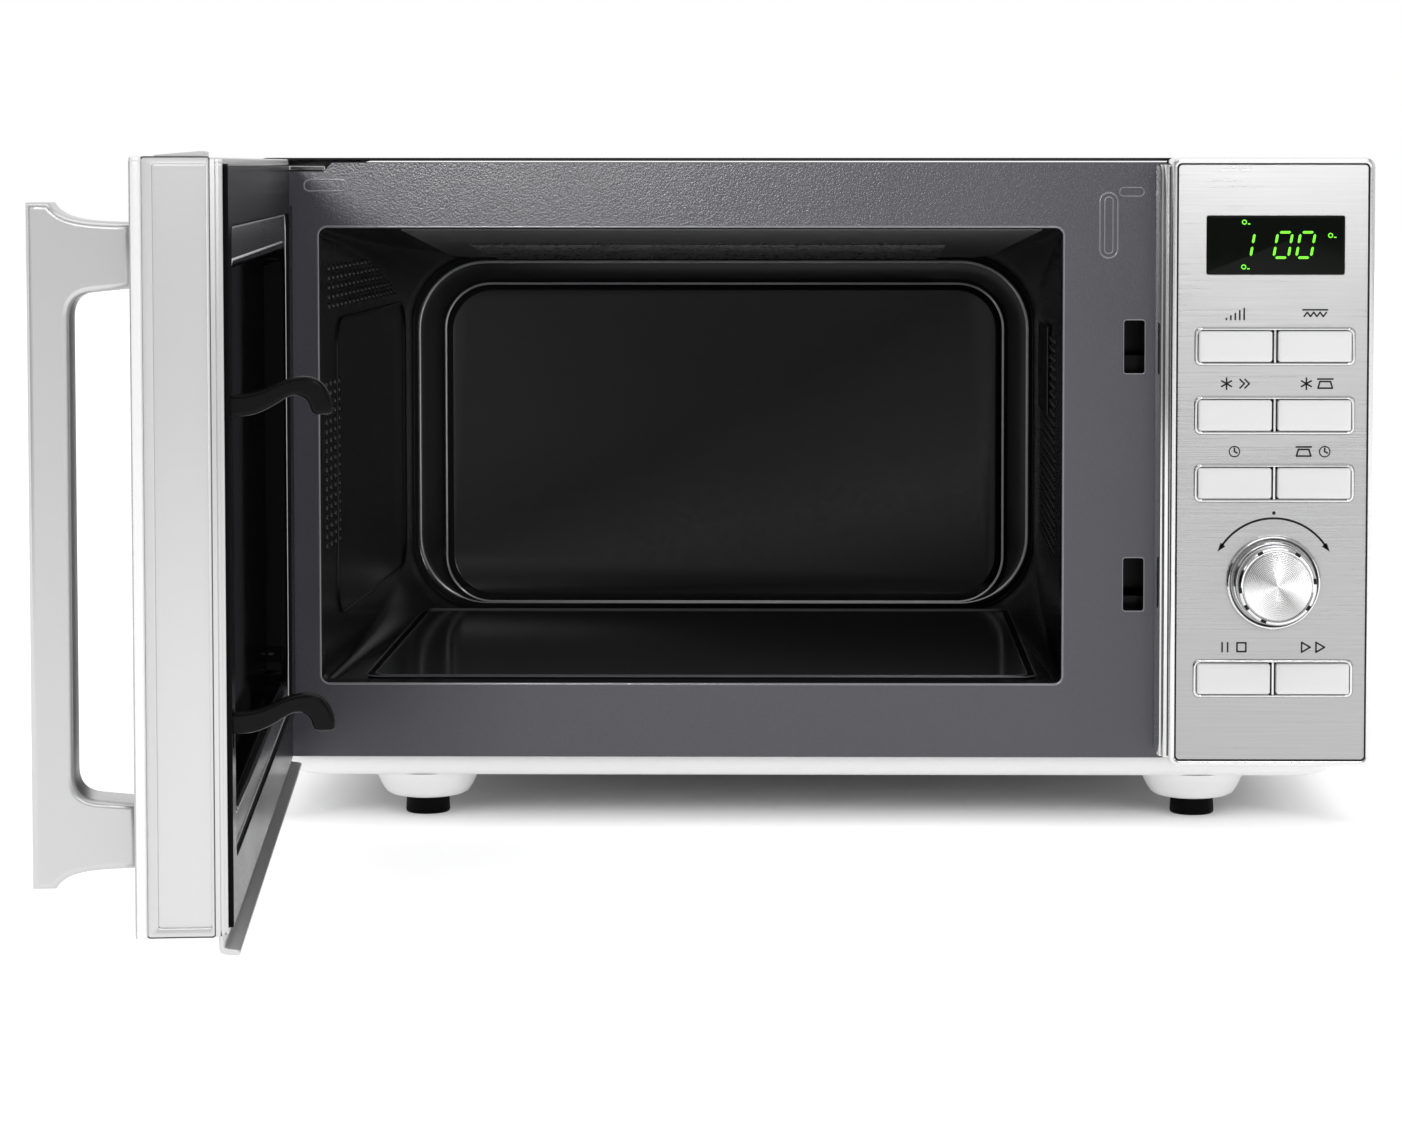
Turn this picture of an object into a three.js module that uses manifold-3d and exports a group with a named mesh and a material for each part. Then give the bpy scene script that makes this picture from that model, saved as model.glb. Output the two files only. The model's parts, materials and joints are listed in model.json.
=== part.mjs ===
// A flatbed microwave oven with a grill, its door standing open, in millimetres.
// +X is to the right of someone facing the oven, +Y runs from the front to the back and +Z is up.
// The parts are placed first in the cabinet's own frame: X = 0 on its centre line, Y = 0 on the face of the
// front plate, Z = 0 on the worktop. The whole is then moved so that the origin is the centre of its footprint.
import * as THREE from "three";
import { mergeVertices } from "three/addons/utils/BufferGeometryUtils.js";
import Module from "manifold-3d";

// ---------------------------------------------------------------- driving dimensions

const WIDTH = 510; // cabinet, outside
const HEIGHT = 311; // worktop to the top of the case
const DEPTH = 390; // front plate to the back of the case
const FRONT = 35; // how far the closed door and the control panel stand in front of the plate

const CASE_SHEET = 1; // steel of the wrap-round case and the rear panel
const PLATE_SHEET = 1.2; // steel of the front plate and the base pan
const CAVITY_SHEET = 1; // steel of the oven cavity

const FOOT_HEIGHT = 8.5;
const FOOT_RADIUS = 10.5;
const FOOT_INSET = 73; // foot centre to the side of the cabinet
const FOOT_FROM_FRONT = 46;
const FOOT_FROM_BACK = 58;
const PAD_DROP = 12.5; // how far each foot's pressed pad hangs below the base pan
const PAD_TOP_RADIUS = 26;
const PAD_BOTTOM_RADIUS = 17;
const PAN_RISE = 12.3; // base pan, from its floor to the lower edge of the front plate

const LEFT_STILE = 28.5; // cabinet side to the oven opening
const SLOT_TO_OPENING = 27.8; // latch slots to the oven opening
const SILL = 34.3; // lower edge of the front plate to the opening
const HEADER = 30; // opening to the top edge of the front plate
const OPENING_CORNER = 6;
const COLLAR_DEPTH = 13; // the opening's own rim, before the cavity narrows
const CEILING_DROP = 18; // opening's top edge to the cavity ceiling
const LEFT_STEP = 5; // opening's left edge to the cavity wall
const RIGHT_STEP = 2; // the right wall stands this much outside the opening
const REAR_GAP = 58; // back of the cavity to the back of the case
const BACK_DISH = 6; // how deep the back wall is pressed outwards
const DISH_MARGIN = 17;
const DISH_CORNER = 25;

const TRAY_THICK = 4;
const TRAY_MARGIN = 13; // glass-ceramic plate to the side walls
const TRAY_FROM_FRONT = 22;
const TRAY_FROM_BACK = 48;
const TRAY_LEDGE = 9; // how far the plate rests on the floor round the antenna well
const WELL_DEPTH = 15;
const STIRRER_RADIUS = 62;
const GRILL_LENGTH = 220;
const GRILL_WIDTH = 130;
const GRILL_RECESS = 17;
const HEATER_RADIUS = 3.2;

const PANEL_WIDTH = 91.7;
const PANEL_LIFT = 1.7; // its lower edge above the front plate's
const PANEL_STEP = 4; // its side stands out by this much behind the front edge
const STEP_BACK = 9; // front face to that step
const CONTROLS_SHIFT = 1.1; // controls to the right of the panel's middle
const PANEL_WALL = 2.5;
const PANEL_RIM = 2.8; // rim of the moulding round the steel fascia
const PANEL_CORNER = 4;
const SEAM = 1.5; // door to panel
const FASCIA_THICK = 0.7;
const DISPLAY_MARGIN = 14.95; // display to the panel's sides
const DISPLAY_HEIGHT = 26.2;
const PAIR_MARGIN = 9.75; // the raised ring round two buttons, to the panel's sides
const PAIR_HEIGHT = 17.2;
const RING_WALL = 1.3;
const BUTTON_GAP = 2; // bar between the two buttons of a pair
const BUTTON_FIT = 0.35; // clearance round a button
const BUTTON_PROUD = 1.8;
const BUTTON_TRAVEL = 1.2;
const KNOB_RADIUS = 18.8;
const KNOB_HEIGHT = 16.5;
const BEZEL_RADIUS = 21.6;
const BEZEL_WALL = 1.8;
const SHAFT_RADIUS = 3;
const BOARD_BACK = 20; // control board, behind the panel's front face

const DOOR_WALL = 2.5; // moulded door frame
const GLASS_THICK = 3;
const WINDOW_MARGIN_X = 52; // door edge to the window, seen from outside
const WINDOW_MARGIN_Z = 40;
const EDGE_RECESS = 1.5; // channel in the door's free edge
const EDGE_RECESS_WIDTH = 18;
const COVER_BAND = 22; // black choke cover round the inside of the door
const SCREEN_RIM = 15; // painted rim of the screen, inside the cover
const SCREEN_SINK = 9; // how deep the window lies behind that rim
const LIP_REACH = 8; // the lower lip, from the door's inner face in under the cabinet
const HINGE_IN = 8; // hinge pin to the cabinet's side
const HINGE_FORWARD = 11; // hinge pin in front of the plate
const HINGE_PIN_RADIUS = 3;
const PIN_FIT = 0.4;
const SWING_CLEAR = 2.2; // turning corner of the door frame to the front plate
const COVER_SWING_CLEAR = 0.9; // the same for the choke cover, which clears the hinge flanges
const DOOR_OPEN_DEG = 85; // how far open the door stands

const HANDLE_END = 16.5; // handle to the top and bottom of the door
const HANDLE_REACH = 37; // from the door's face
const HANDLE_BAR = 14.8; // thickness of the grip
const HANDLE_WIDTH = 22;
const HANDLE_FROM_EDGE = 25; // centre of the grip to the door's free edge

const SLOT_WIDTH = 10; // latch slots in the front plate
const SLOT_HEIGHT = 25;
const SLOT_PITCH = 110;
const SLOT_DROP = 4; // middle of the slots below the middle of the door
const SLOT_INSET = 4.5; // slot to the panel's side
const HOOK_THICK = 4.5;
const HOOK_REACH = 35;
const LATCH_TRAVEL = 3.5; // how far the hooks drop behind their ledges

const GAP = 0.3; // between separate pieces that meet
const QUARTER = 4; // facets in a rounded corner
const ROUND = 24; // facets in a full turn

// ---------------------------------------------------------------- places that follow from them

const left = -WIDTH / 2;
const right = WIDTH / 2;
const panFloor = FOOT_HEIGHT + PAD_DROP; // underside of the base pan
const plateBottom = panFloor + PAN_RISE;
const plateTop = HEIGHT - 2 * CASE_SHEET;
const panel = { x0: right - PANEL_WIDTH, x1: right, z0: plateBottom + PANEL_LIFT, z1: HEIGHT };
const panelX = (panel.x0 + panel.x1) / 2 + CONTROLS_SHIFT;
const displayWidth = PANEL_WIDTH - 2 * DISPLAY_MARGIN;
const pairWidth = PANEL_WIDTH - 2 * PAIR_MARGIN;
const doorX1 = panel.x0 - SEAM; // the door's free edge
const doorZ0 = panel.z0;
const doorZ1 = HEIGHT;
const doorMidZ = (doorZ0 + doorZ1) / 2;
const hingeX = left + HINGE_IN;
const hingeY = -HINGE_FORWARD;

const slotX = panel.x0 - PANEL_STEP - SLOT_INSET - SLOT_WIDTH / 2;
const slotZ = [doorMidZ - SLOT_DROP + SLOT_PITCH / 2, doorMidZ - SLOT_DROP - SLOT_PITCH / 2];
const hookX = slotX - 1.2;

const opening = {
  x0: left + LEFT_STILE,
  x1: slotX - SLOT_WIDTH / 2 - SLOT_TO_OPENING,
  z0: plateBottom + SILL,
  z1: plateTop - HEADER,
};
const cavity = {
  x0: opening.x0 + LEFT_STEP,
  x1: opening.x1 + RIGHT_STEP,
  z0: opening.z0 - TRAY_THICK - GAP, // the plate's top is level with the opening's lower edge
  z1: opening.z1 - CEILING_DROP,
  y1: DEPTH - REAR_GAP,
};
const cavityX = (cavity.x0 + cavity.x1) / 2;
const tray = {
  x0: cavity.x0 + TRAY_MARGIN,
  x1: cavity.x1 - TRAY_MARGIN,
  y0: TRAY_FROM_FRONT,
  y1: cavity.y1 - TRAY_FROM_BACK,
};
const wellY = (tray.y0 + tray.y1) / 2;
const wellFloor = cavity.z0 - WELL_DEPTH;
const bayX0 = cavity.x1 + CAVITY_SHEET; // inside of the component bay
const bayX1 = right - CASE_SHEET;
const bayX = (bayX0 + bayX1) / 2;

// ---------------------------------------------------------------- shapes

const wasm = await Module();
wasm.setup();

// A closed three.js geometry as a solid that can be joined and cut.
function solid(geometry) {
  const bare = geometry.index ? geometry.toNonIndexed() : geometry.clone();
  bare.deleteAttribute("normal");
  bare.deleteAttribute("uv");
  const merged = mergeVertices(bare, 1e-4);
  return new wasm.Manifold(
    new wasm.Mesh({
      numProp: 3,
      vertProperties: merged.attributes.position.array,
      triVerts: new Uint32Array(merged.index.array),
    }),
  );
}

// A solid as a geometry again.
function geometryOf(body) {
  const mesh = body.getMesh();
  return new THREE.BufferGeometry()
    .setAttribute("position", new THREE.BufferAttribute(mesh.vertProperties, 3))
    .setIndex(new THREE.BufferAttribute(mesh.triVerts, 1));
}

// The first geometry with the added ones joined on and the cut ones taken out.
function shaped(base, { add = [], cut = [] }) {
  let body = solid(base);
  for (const geometry of add) body = body.add(solid(geometry));
  for (const geometry of cut) body = body.subtract(solid(geometry));
  return geometryOf(body);
}

function block(x0, x1, y0, y1, z0, z1) {
  return new THREE.BoxGeometry(x1 - x0, y1 - y0, z1 - z0).translate(
    (x0 + x1) / 2,
    (y0 + y1) / 2,
    (z0 + z1) / 2,
  );
}

// A rectangle with round corners, as a shape or as a hole in one.
function rounded(u0, u1, v0, v1, r, Kind = THREE.Shape) {
  const outline = new Kind();
  outline.moveTo(u0 + r, v0);
  outline.lineTo(u1 - r, v0);
  outline.absarc(u1 - r, v0 + r, r, -Math.PI / 2, 0, false);
  outline.lineTo(u1, v1 - r);
  outline.absarc(u1 - r, v1 - r, r, 0, Math.PI / 2, false);
  outline.lineTo(u0 + r, v1);
  outline.absarc(u0 + r, v1 - r, r, Math.PI / 2, Math.PI, false);
  outline.lineTo(u0, v0 + r);
  outline.absarc(u0 + r, v0 + r, r, Math.PI, Math.PI * 1.5, false);
  return outline;
}

function polygon(points) {
  return new THREE.Shape(points.map(([u, v]) => new THREE.Vector2(u, v)));
}

function extruded(shape, depth) {
  return new THREE.ExtrudeGeometry(shape, { depth, bevelEnabled: false, curveSegments: QUARTER });
}

// A shape drawn in X and Z, as a sheet from y0 to y1.
function upright(shape, y0, y1) {
  return extruded(shape, y1 - y0).rotateX(Math.PI / 2).translate(0, y1, 0);
}

// A shape drawn in X and Y, from z0 to z1.
function level(shape, z0, z1) {
  return extruded(shape, z1 - z0).translate(0, 0, z0);
}

// A shape drawn in Y and Z, from x0 to x1.
function across(shape, x0, x1) {
  const turn = new THREE.Matrix4().makeBasis(
    new THREE.Vector3(0, 1, 0),
    new THREE.Vector3(0, 0, 1),
    new THREE.Vector3(1, 0, 0),
  );
  return extruded(shape, x1 - x0).applyMatrix4(turn).translate(x0, 0, 0);
}

function rod(radius, length, facets = ROUND, top = radius) {
  return new THREE.CylinderGeometry(top, radius, length, facets);
}

// A rod standing on z0.
function post(x, y, z0, z1, radius, facets = ROUND, top = radius) {
  return rod(radius, z1 - z0, facets, top).rotateX(Math.PI / 2).translate(x, y, (z0 + z1) / 2);
}

// A rod lying along Y, from y0 to y1. Its second radius is the one at y1.
function axle(x, z, y0, y1, radius, facets = ROUND, far = radius) {
  return rod(radius, y1 - y0, facets, far).translate(0, (y0 + y1) / 2, 0).translate(x, 0, z);
}

// A profile of (radius, forward) points turned about the Y axis through x, z; forward is towards -Y.
function turned(profile, x, y, z, facets = ROUND) {
  const points = profile.map(([r, forward]) => new THREE.Vector2(r, forward));
  return new THREE.LatheGeometry(points, facets).rotateX(Math.PI).translate(x, y, z);
}

// ---------------------------------------------------------------- materials

function finish(color, roughness, metalness) {
  return new THREE.MeshStandardMaterial({ color, roughness, metalness });
}

const silver = finish(0xd4d5d6, 0.35, 0.55);
const brushed = finish(0xc9c9c7, 0.3, 1);
const blackPaint = finish(0x141416, 0.4, 0.1);
const greyEnamel = finish(0x55555c, 0.45, 0.2);
const darkEnamel = finish(0x29292c, 0.35, 0.2);
const greyPan = finish(0xb4b4b3, 0.5, 0.5);
const galvanised = finish(0x9ba0a2, 0.45, 0.9);
const blackGlass = finish(0x0b0b0c, 0.08, 0);
const blackPlastic = finish(0x1b1b1c, 0.45, 0);
const rubber = finish(0x0c0c0c, 0.8, 0);
const chrome = finish(0xe8e8e8, 0.08, 1);
const steel = finish(0x8d9093, 0.4, 0.9);
const copper = finish(0x9a5b38, 0.4, 0.8);
const board = finish(0x1d5b3a, 0.6, 0);
const mica = finish(0x7b7468, 0.6, 0);
const whitePlastic = finish(0xe6e4dc, 0.5, 0);
const display = finish(0x050805, 0.1, 0);

// ---------------------------------------------------------------- the assembly

const oven = new THREE.Group();
const cabinet = new THREE.Group();
const door = new THREE.Group(); // drawn closed, then turned about the hinge pins
oven.add(cabinet, door);

function part(group, name, geometry, material) {
  const mesh = new THREE.Mesh(geometry, material);
  mesh.name = name;
  group.add(mesh);
}

// ---------------------------------------------------------------- case and chassis

const CASE_SLOTS = 9;
const CASE_SLOT = { length: 34, height: 3, pitch: 9 };

// Cooling slots through both sides of the case, near the back.
function sideSlots() {
  const y1 = DEPTH - 45;
  const z0 = HEIGHT - 60 - (CASE_SLOTS - 1) * CASE_SLOT.pitch;
  return Array.from({ length: CASE_SLOTS }, (_, i) => {
    const z = z0 + i * CASE_SLOT.pitch;
    return block(left - 5, right + 5, y1 - CASE_SLOT.length, y1, z, z + CASE_SLOT.height);
  });
}

const CASE_CORNER = 5;
const caseProfile = new THREE.Shape();
caseProfile.moveTo(left, plateBottom);
caseProfile.lineTo(left, HEIGHT - CASE_CORNER);
caseProfile.absarc(left + CASE_CORNER, HEIGHT - CASE_CORNER, CASE_CORNER, Math.PI, Math.PI / 2, true);
caseProfile.lineTo(right - CASE_CORNER, HEIGHT);
caseProfile.absarc(right - CASE_CORNER, HEIGHT - CASE_CORNER, CASE_CORNER, Math.PI / 2, 0, true);
caseProfile.lineTo(right, plateBottom);
caseProfile.lineTo(right - CASE_SHEET, plateBottom);
const innerCorner = CASE_CORNER - CASE_SHEET;
caseProfile.lineTo(right - CASE_SHEET, HEIGHT - CASE_CORNER);
caseProfile.absarc(right - CASE_CORNER, HEIGHT - CASE_CORNER, innerCorner, 0, Math.PI / 2, false);
caseProfile.lineTo(left + CASE_CORNER, HEIGHT - CASE_SHEET);
caseProfile.absarc(left + CASE_CORNER, HEIGHT - CASE_CORNER, innerCorner, Math.PI / 2, Math.PI, false);
caseProfile.lineTo(left + CASE_SHEET, plateBottom);
part(cabinet, "outer_case", shaped(upright(caseProfile, 0, DEPTH), { cut: sideSlots() }), blackPaint);

const rear = {
  x0: left + CASE_SHEET + GAP,
  x1: right - CASE_SHEET - GAP,
  z0: plateBottom + GAP,
  z1: plateTop - GAP,
  y0: DEPTH - 3,
  y1: DEPTH - 3 + CASE_SHEET,
};
const SCREW_INSET = 16;
const FAN_RADIUS = 44;
const SHROUD_HALF = FAN_RADIUS + 8;
const SHROUD_CLEAR = 4; // shroud to the screws above it
const FAN_OFF_MIDDLE = -9; // from the middle of the bay
const fan = {
  x: bayX + FAN_OFF_MIDDLE,
  z: rear.z1 - SCREW_INSET - SHROUD_CLEAR - SHROUD_HALF,
};
const inlet = { x: right - 60, z: plateBottom + 38, radius: 9 };
const screwSpots = [rear.x0 + SCREW_INSET, rear.x1 - SCREW_INSET].map((x) => [x, rear.z1 - SCREW_INSET]);

// Slots in a block of rows for the fan's air, and a second block for the exhaust.
function rearSlots() {
  const cutters = [];
  for (let row = -3; row <= 3; row++) {
    const z = fan.z + row * 10;
    const half = Math.sqrt(FAN_RADIUS ** 2 - (row * 10) ** 2) - 4;
    cutters.push(block(fan.x - half, fan.x + half, rear.y0 - 5, rear.y1 + 5, z - 2, z + 2));
    cutters.push(block(rear.x0 + 40, rear.x0 + 110, rear.y0 - 5, rear.y1 + 5, z - 2, z + 2));
  }
  return cutters;
}
part(
  cabinet,
  "rear_panel",
  shaped(upright(rounded(rear.x0, rear.x1, rear.z0, rear.z1, CASE_CORNER - CASE_SHEET), rear.y0, rear.y1), {
    cut: [
      ...rearSlots(),
      axle(inlet.x, inlet.z, rear.y0 - 5, rear.y1 + 5, inlet.radius),
      ...screwSpots.map(([x, z]) => axle(x, z, rear.y0 - 5, rear.y1 + 5, 2.3, 12)),
    ],
  }),
  galvanised,
);
screwSpots.forEach(([x, z], i) =>
  part(
    cabinet,
    ["rear_screw_left", "rear_screw_right"][i],
    shaped(axle(x, z, rear.y0 - 6, rear.y1 + GAP, 2, 12), {
      add: [axle(x, z, rear.y1 + GAP, rear.y1 + GAP + 2, 4.2, 12, 3.4)],
    }),
    steel,
  ),
);
part(
  cabinet,
  "cord_inlet",
  shaped(axle(inlet.x, inlet.z, rear.y0 - 6, rear.y1 + GAP, inlet.radius - GAP, 16), {
    add: [axle(inlet.x, inlet.z, rear.y1 + GAP, rear.y1 + 2.5, inlet.radius + 3, 16)],
    cut: [axle(inlet.x, inlet.z, rear.y0 - 9, rear.y1 + 9, inlet.radius - 4, 16)],
  }),
  blackPlastic,
);

const footSpots = [
  ["front_left", left + FOOT_INSET, FOOT_FROM_FRONT],
  ["front_right", right - FOOT_INSET, FOOT_FROM_FRONT],
  ["rear_left", left + FOOT_INSET, DEPTH - FOOT_FROM_BACK],
  ["rear_right", right - FOOT_INSET, DEPTH - FOOT_FROM_BACK],
];

// The pan's section from front to back: an upright lip under the plate, a slope, the floor and the rear wall.
function panSection(skin) {
  const t = skin ? PLATE_SHEET : 0;
  const back = DEPTH - 4;
  return polygon([
    [12 + t, plateBottom - (skin ? -5 : 0.3)],
    [12 + t, plateBottom - 2],
    [22 + t, panFloor + t],
    [back - 8 - t, panFloor + t],
    [back - t, plateBottom - 1],
    [back - t, plateBottom - (skin ? -5 : 0.3)],
  ]);
}
const panX0 = left + 6;
const panX1 = right - 6;

function basePan() {
  const padBottom = FOOT_HEIGHT;
  const bosses = footSpots.map(([, x, y]) =>
    post(x, y, padBottom, panFloor + PLATE_SHEET, PAD_BOTTOM_RADIUS, 16, PAD_TOP_RADIUS),
  );
  const hollows = footSpots.map(([, x, y]) =>
    post(
      x,
      y,
      padBottom + PLATE_SHEET,
      panFloor + 2 * PLATE_SHEET,
      PAD_BOTTOM_RADIUS - PLATE_SHEET,
      16,
      PAD_TOP_RADIUS - PLATE_SHEET,
    ),
  );
  return shaped(across(panSection(false), panX0, panX1), {
    add: bosses,
    cut: [across(panSection(true), panX0 + PLATE_SHEET, panX1 - PLATE_SHEET), ...hollows],
  });
}
part(cabinet, "base_pan", basePan(), greyPan);
for (const [place, x, y] of footSpots)
  part(cabinet, `foot_${place}`, post(x, y, 0, FOOT_HEIGHT, FOOT_RADIUS - 0.5, ROUND, FOOT_RADIUS), rubber);

// The front plate: the oven opening, the bay opening behind the controls, two latch slots and hinge notches.
function frontPlate() {
  const x0 = left + CASE_SHEET + GAP;
  const x1 = right - CASE_SHEET - GAP;
  const sheet = rounded(x0, x1, plateBottom, plateTop, CASE_CORNER - CASE_SHEET);
  sheet.holes.push(rounded(opening.x0, opening.x1, opening.z0, opening.z1, OPENING_CORNER, THREE.Path));
  for (const z of slotZ) {
    const [u, v] = [SLOT_WIDTH / 2, SLOT_HEIGHT / 2];
    sheet.holes.push(rounded(slotX - u, slotX + u, z - v, z + v, 1.2, THREE.Path));
  }
  sheet.holes.push(
    rounded(panel.x0 + 8, panel.x1 - 8, panel.z0 + 16, panel.z1 - 16, 3, THREE.Path),
  );
  const notch = block(x0 - 1, hingeX + 12, -1, PLATE_SHEET + 1, plateTop - 8, plateTop + 1);
  return shaped(upright(sheet, 0, PLATE_SHEET), { cut: [notch] });
}
part(cabinet, "front_plate", frontPlate(), greyEnamel);

// ---------------------------------------------------------------- oven cavity and what is in it

const grill = {
  x0: cavityX - GRILL_LENGTH / 2,
  x1: cavityX + GRILL_LENGTH / 2,
  y0: (COLLAR_DEPTH + cavity.y1) / 2 - GRILL_WIDTH / 2,
  y1: (COLLAR_DEPTH + cavity.y1) / 2 + GRILL_WIDTH / 2,
};
const lamp = { y: cavity.y1 * 0.55, z: cavity.z1 - 52 };

// The oven is four sheets: a collar behind the opening, walls with the ceiling, a floor and a back.
const SHAFT_HOLE = 7;
function mouth(skin) {
  return rounded(
    opening.x0 - skin,
    opening.x1 + skin,
    opening.z0 - skin,
    opening.z1 + skin,
    OPENING_CORNER + skin,
  );
}
function ovenBox(skin, y0, y1) {
  const s = skin;
  return block(cavity.x0 - s, cavity.x1 + s, y0, y1, cavity.z0 - s, cavity.z1 + s);
}
function cavityCollar() {
  const s = CAVITY_SHEET;
  return shaped(upright(mouth(s), PLATE_SHEET, COLLAR_DEPTH + s), {
    add: [ovenBox(s, COLLAR_DEPTH - s, COLLAR_DEPTH)],
    cut: [upright(mouth(0), -1, COLLAR_DEPTH), ovenBox(s, COLLAR_DEPTH, COLLAR_DEPTH + 2 * s)],
  });
}
function grillRecess(skin) {
  const s = skin;
  return block(
    grill.x0 - s,
    grill.x1 + s,
    grill.y0 - s,
    grill.y1 + s,
    cavity.z1 - 1,
    cavity.z1 + GRILL_RECESS + s,
  );
}
function cavityWalls() {
  const s = CAVITY_SHEET;
  return shaped(ovenBox(s, COLLAR_DEPTH, cavity.y1), {
    add: [grillRecess(s)],
    cut: [
      block(cavity.x0, cavity.x1, COLLAR_DEPTH - 1, cavity.y1 + 1, cavity.z0 - 2 * s, cavity.z1),
      grillRecess(0),
    ],
  });
}
function antennaWell(skin, top) {
  const s = skin;
  return block(
    tray.x0 + TRAY_LEDGE - s,
    tray.x1 - TRAY_LEDGE + s,
    tray.y0 + TRAY_LEDGE - s,
    tray.y1 - TRAY_LEDGE + s,
    wellFloor - s,
    top,
  );
}
function cavityFloor() {
  const s = CAVITY_SHEET;
  return shaped(block(cavity.x0, cavity.x1, COLLAR_DEPTH, cavity.y1, cavity.z0 - s, cavity.z0), {
    add: [antennaWell(s, cavity.z0)],
    cut: [
      antennaWell(0, cavity.z0 + 1),
      post(cavityX, wellY, wellFloor - 9, wellFloor + 1, SHAFT_HOLE, 16),
    ],
  });
}
function cavityBack() {
  const s = CAVITY_SHEET;
  const dish = (skin) =>
    rounded(
      cavity.x0 + DISH_MARGIN - skin,
      cavity.x1 - DISH_MARGIN + skin,
      cavity.z0 + 4 - skin,
      cavity.z1 - DISH_MARGIN + skin,
      DISH_CORNER,
    );
  return shaped(ovenBox(s, cavity.y1, cavity.y1 + s), {
    add: [upright(dish(s), cavity.y1, cavity.y1 + BACK_DISH + s)],
    cut: [upright(dish(0), cavity.y1 - 1, cavity.y1 + BACK_DISH)],
  });
}
part(cabinet, "cavity_collar", cavityCollar(), darkEnamel);
part(cabinet, "oven_cavity", cavityWalls(), darkEnamel);
part(cabinet, "cavity_floor", cavityFloor(), darkEnamel);
part(cabinet, "cavity_back", cavityBack(), darkEnamel);

part(
  cabinet,
  "ceramic_plate",
  level(rounded(tray.x0, tray.x1, tray.y0, tray.y1, 8), cavity.z0 + GAP, cavity.z0 + GAP + TRAY_THICK),
  blackGlass,
);

// The grill's guard under its recess, with long slots for the heat.
function grillGuard() {
  const sheet = rounded(grill.x0 - 9, grill.x1 + 9, grill.y0 - 9, grill.y1 + 9, 6);
  const slots = 6;
  const z1 = cavity.z1 - GAP;
  const cut = Array.from({ length: slots }, (_, i) => {
    const y = grill.y0 + (GRILL_WIDTH * (i + 0.5)) / slots;
    return block(grill.x0 + 8, grill.x1 - 8, y - 6, y + 6, z1 - 5, z1 + 5);
  });
  return shaped(level(sheet, z1 - 1, z1), { cut });
}
part(cabinet, "grill_guard", grillGuard(), darkEnamel);

// One sheathed heating rod, bent to and fro in the recess.
function heater() {
  const z = cavity.z1 + GRILL_RECESS / 2;
  const passes = 3;
  const pitch = (GRILL_WIDTH - 34) / (passes - 1);
  const bend = pitch / 2;
  const points = [];
  for (let i = 0; i < passes; i++) {
    const y = grill.y0 + 17 + i * pitch;
    const ends = [grill.x0 + 24 + bend, grill.x1 - 24 - bend];
    const [from, to] = i % 2 ? [ends[1], ends[0]] : ends;
    points.push(new THREE.Vector3(from, y, z), new THREE.Vector3((from + to) / 2, y, z));
    points.push(new THREE.Vector3(to, y, z));
    if (i < passes - 1) points.push(new THREE.Vector3(to + (i % 2 ? -bend : bend), y + bend, z));
  }
  const circle = new THREE.Shape().absarc(0, 0, HEATER_RADIUS, 0, Math.PI * 2, false);
  return new THREE.ExtrudeGeometry(circle, {
    steps: 44,
    curveSegments: 3,
    extrudePath: new THREE.CatmullRomCurve3(points, false, "centripetal"),
  });
}
part(cabinet, "grill_heater", heater(), steel);

part(
  cabinet,
  "mica_cover",
  block(
    cavity.x1 - GAP - 0.6,
    cavity.x1 - GAP,
    cavity.y1 * 0.42,
    cavity.y1 * 0.42 + 72,
    cavity.z1 - 78,
    cavity.z1 - 34,
  ),
  mica,
);

// ---------------------------------------------------------------- microwave feed

const FEED_HALF = 42; // half the waveguide's width
const FEED_HEIGHT = 13;
const FEED_SHEET = 1;
const FEED_PAST_SHAFT = 45; // its closed end past the stirrer's shaft
const ANTENNA_HOLE = 14; // radius
const feed = {
  x0: cavityX - FEED_PAST_SHAFT,
  x1: bayX0 + 92,
  y0: wellY - FEED_HALF,
  y1: wellY + FEED_HALF,
  z0: wellFloor - CAVITY_SHEET - GAP - FEED_HEIGHT,
  z1: wellFloor - CAVITY_SHEET - GAP,
};
const magnetron = {
  x: bayX0 + 48,
  y: wellY,
  z0: feed.z1 + GAP,
  halfX: 40,
  halfY: 34,
  yoke: 2, // sheet of the yoke round the fins
  base: 16, // height of the box under them
  fins: 78, // top of the fins
  top: 92,
  anode: 19, // radius
  dome: 9, // radius of the antenna's dome
};
part(
  cabinet,
  "waveguide",
  shaped(block(feed.x0, feed.x1, feed.y0, feed.y1, feed.z0, feed.z1), {
    cut: [
      block(
        feed.x0 + FEED_SHEET,
        feed.x1 - FEED_SHEET,
        feed.y0 + FEED_SHEET,
        feed.y1 - FEED_SHEET,
        feed.z0 + FEED_SHEET,
        feed.z1 - FEED_SHEET,
      ),
      post(cavityX, wellY, feed.z0 - 5, feed.z1 + 5, SHAFT_HOLE, 16),
      post(magnetron.x, magnetron.y, feed.z1 - 3, feed.z1 + 5, ANTENNA_HOLE, 16),
    ],
  }),
  galvanised,
);

const MOTOR_RADIUS = 24;
const antennaZ = wellFloor + 6;
part(
  cabinet,
  "antenna_motor",
  post(cavityX, wellY, panFloor + PLATE_SHEET + GAP, feed.z0 - GAP, MOTOR_RADIUS, 16),
  steel,
);

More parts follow.
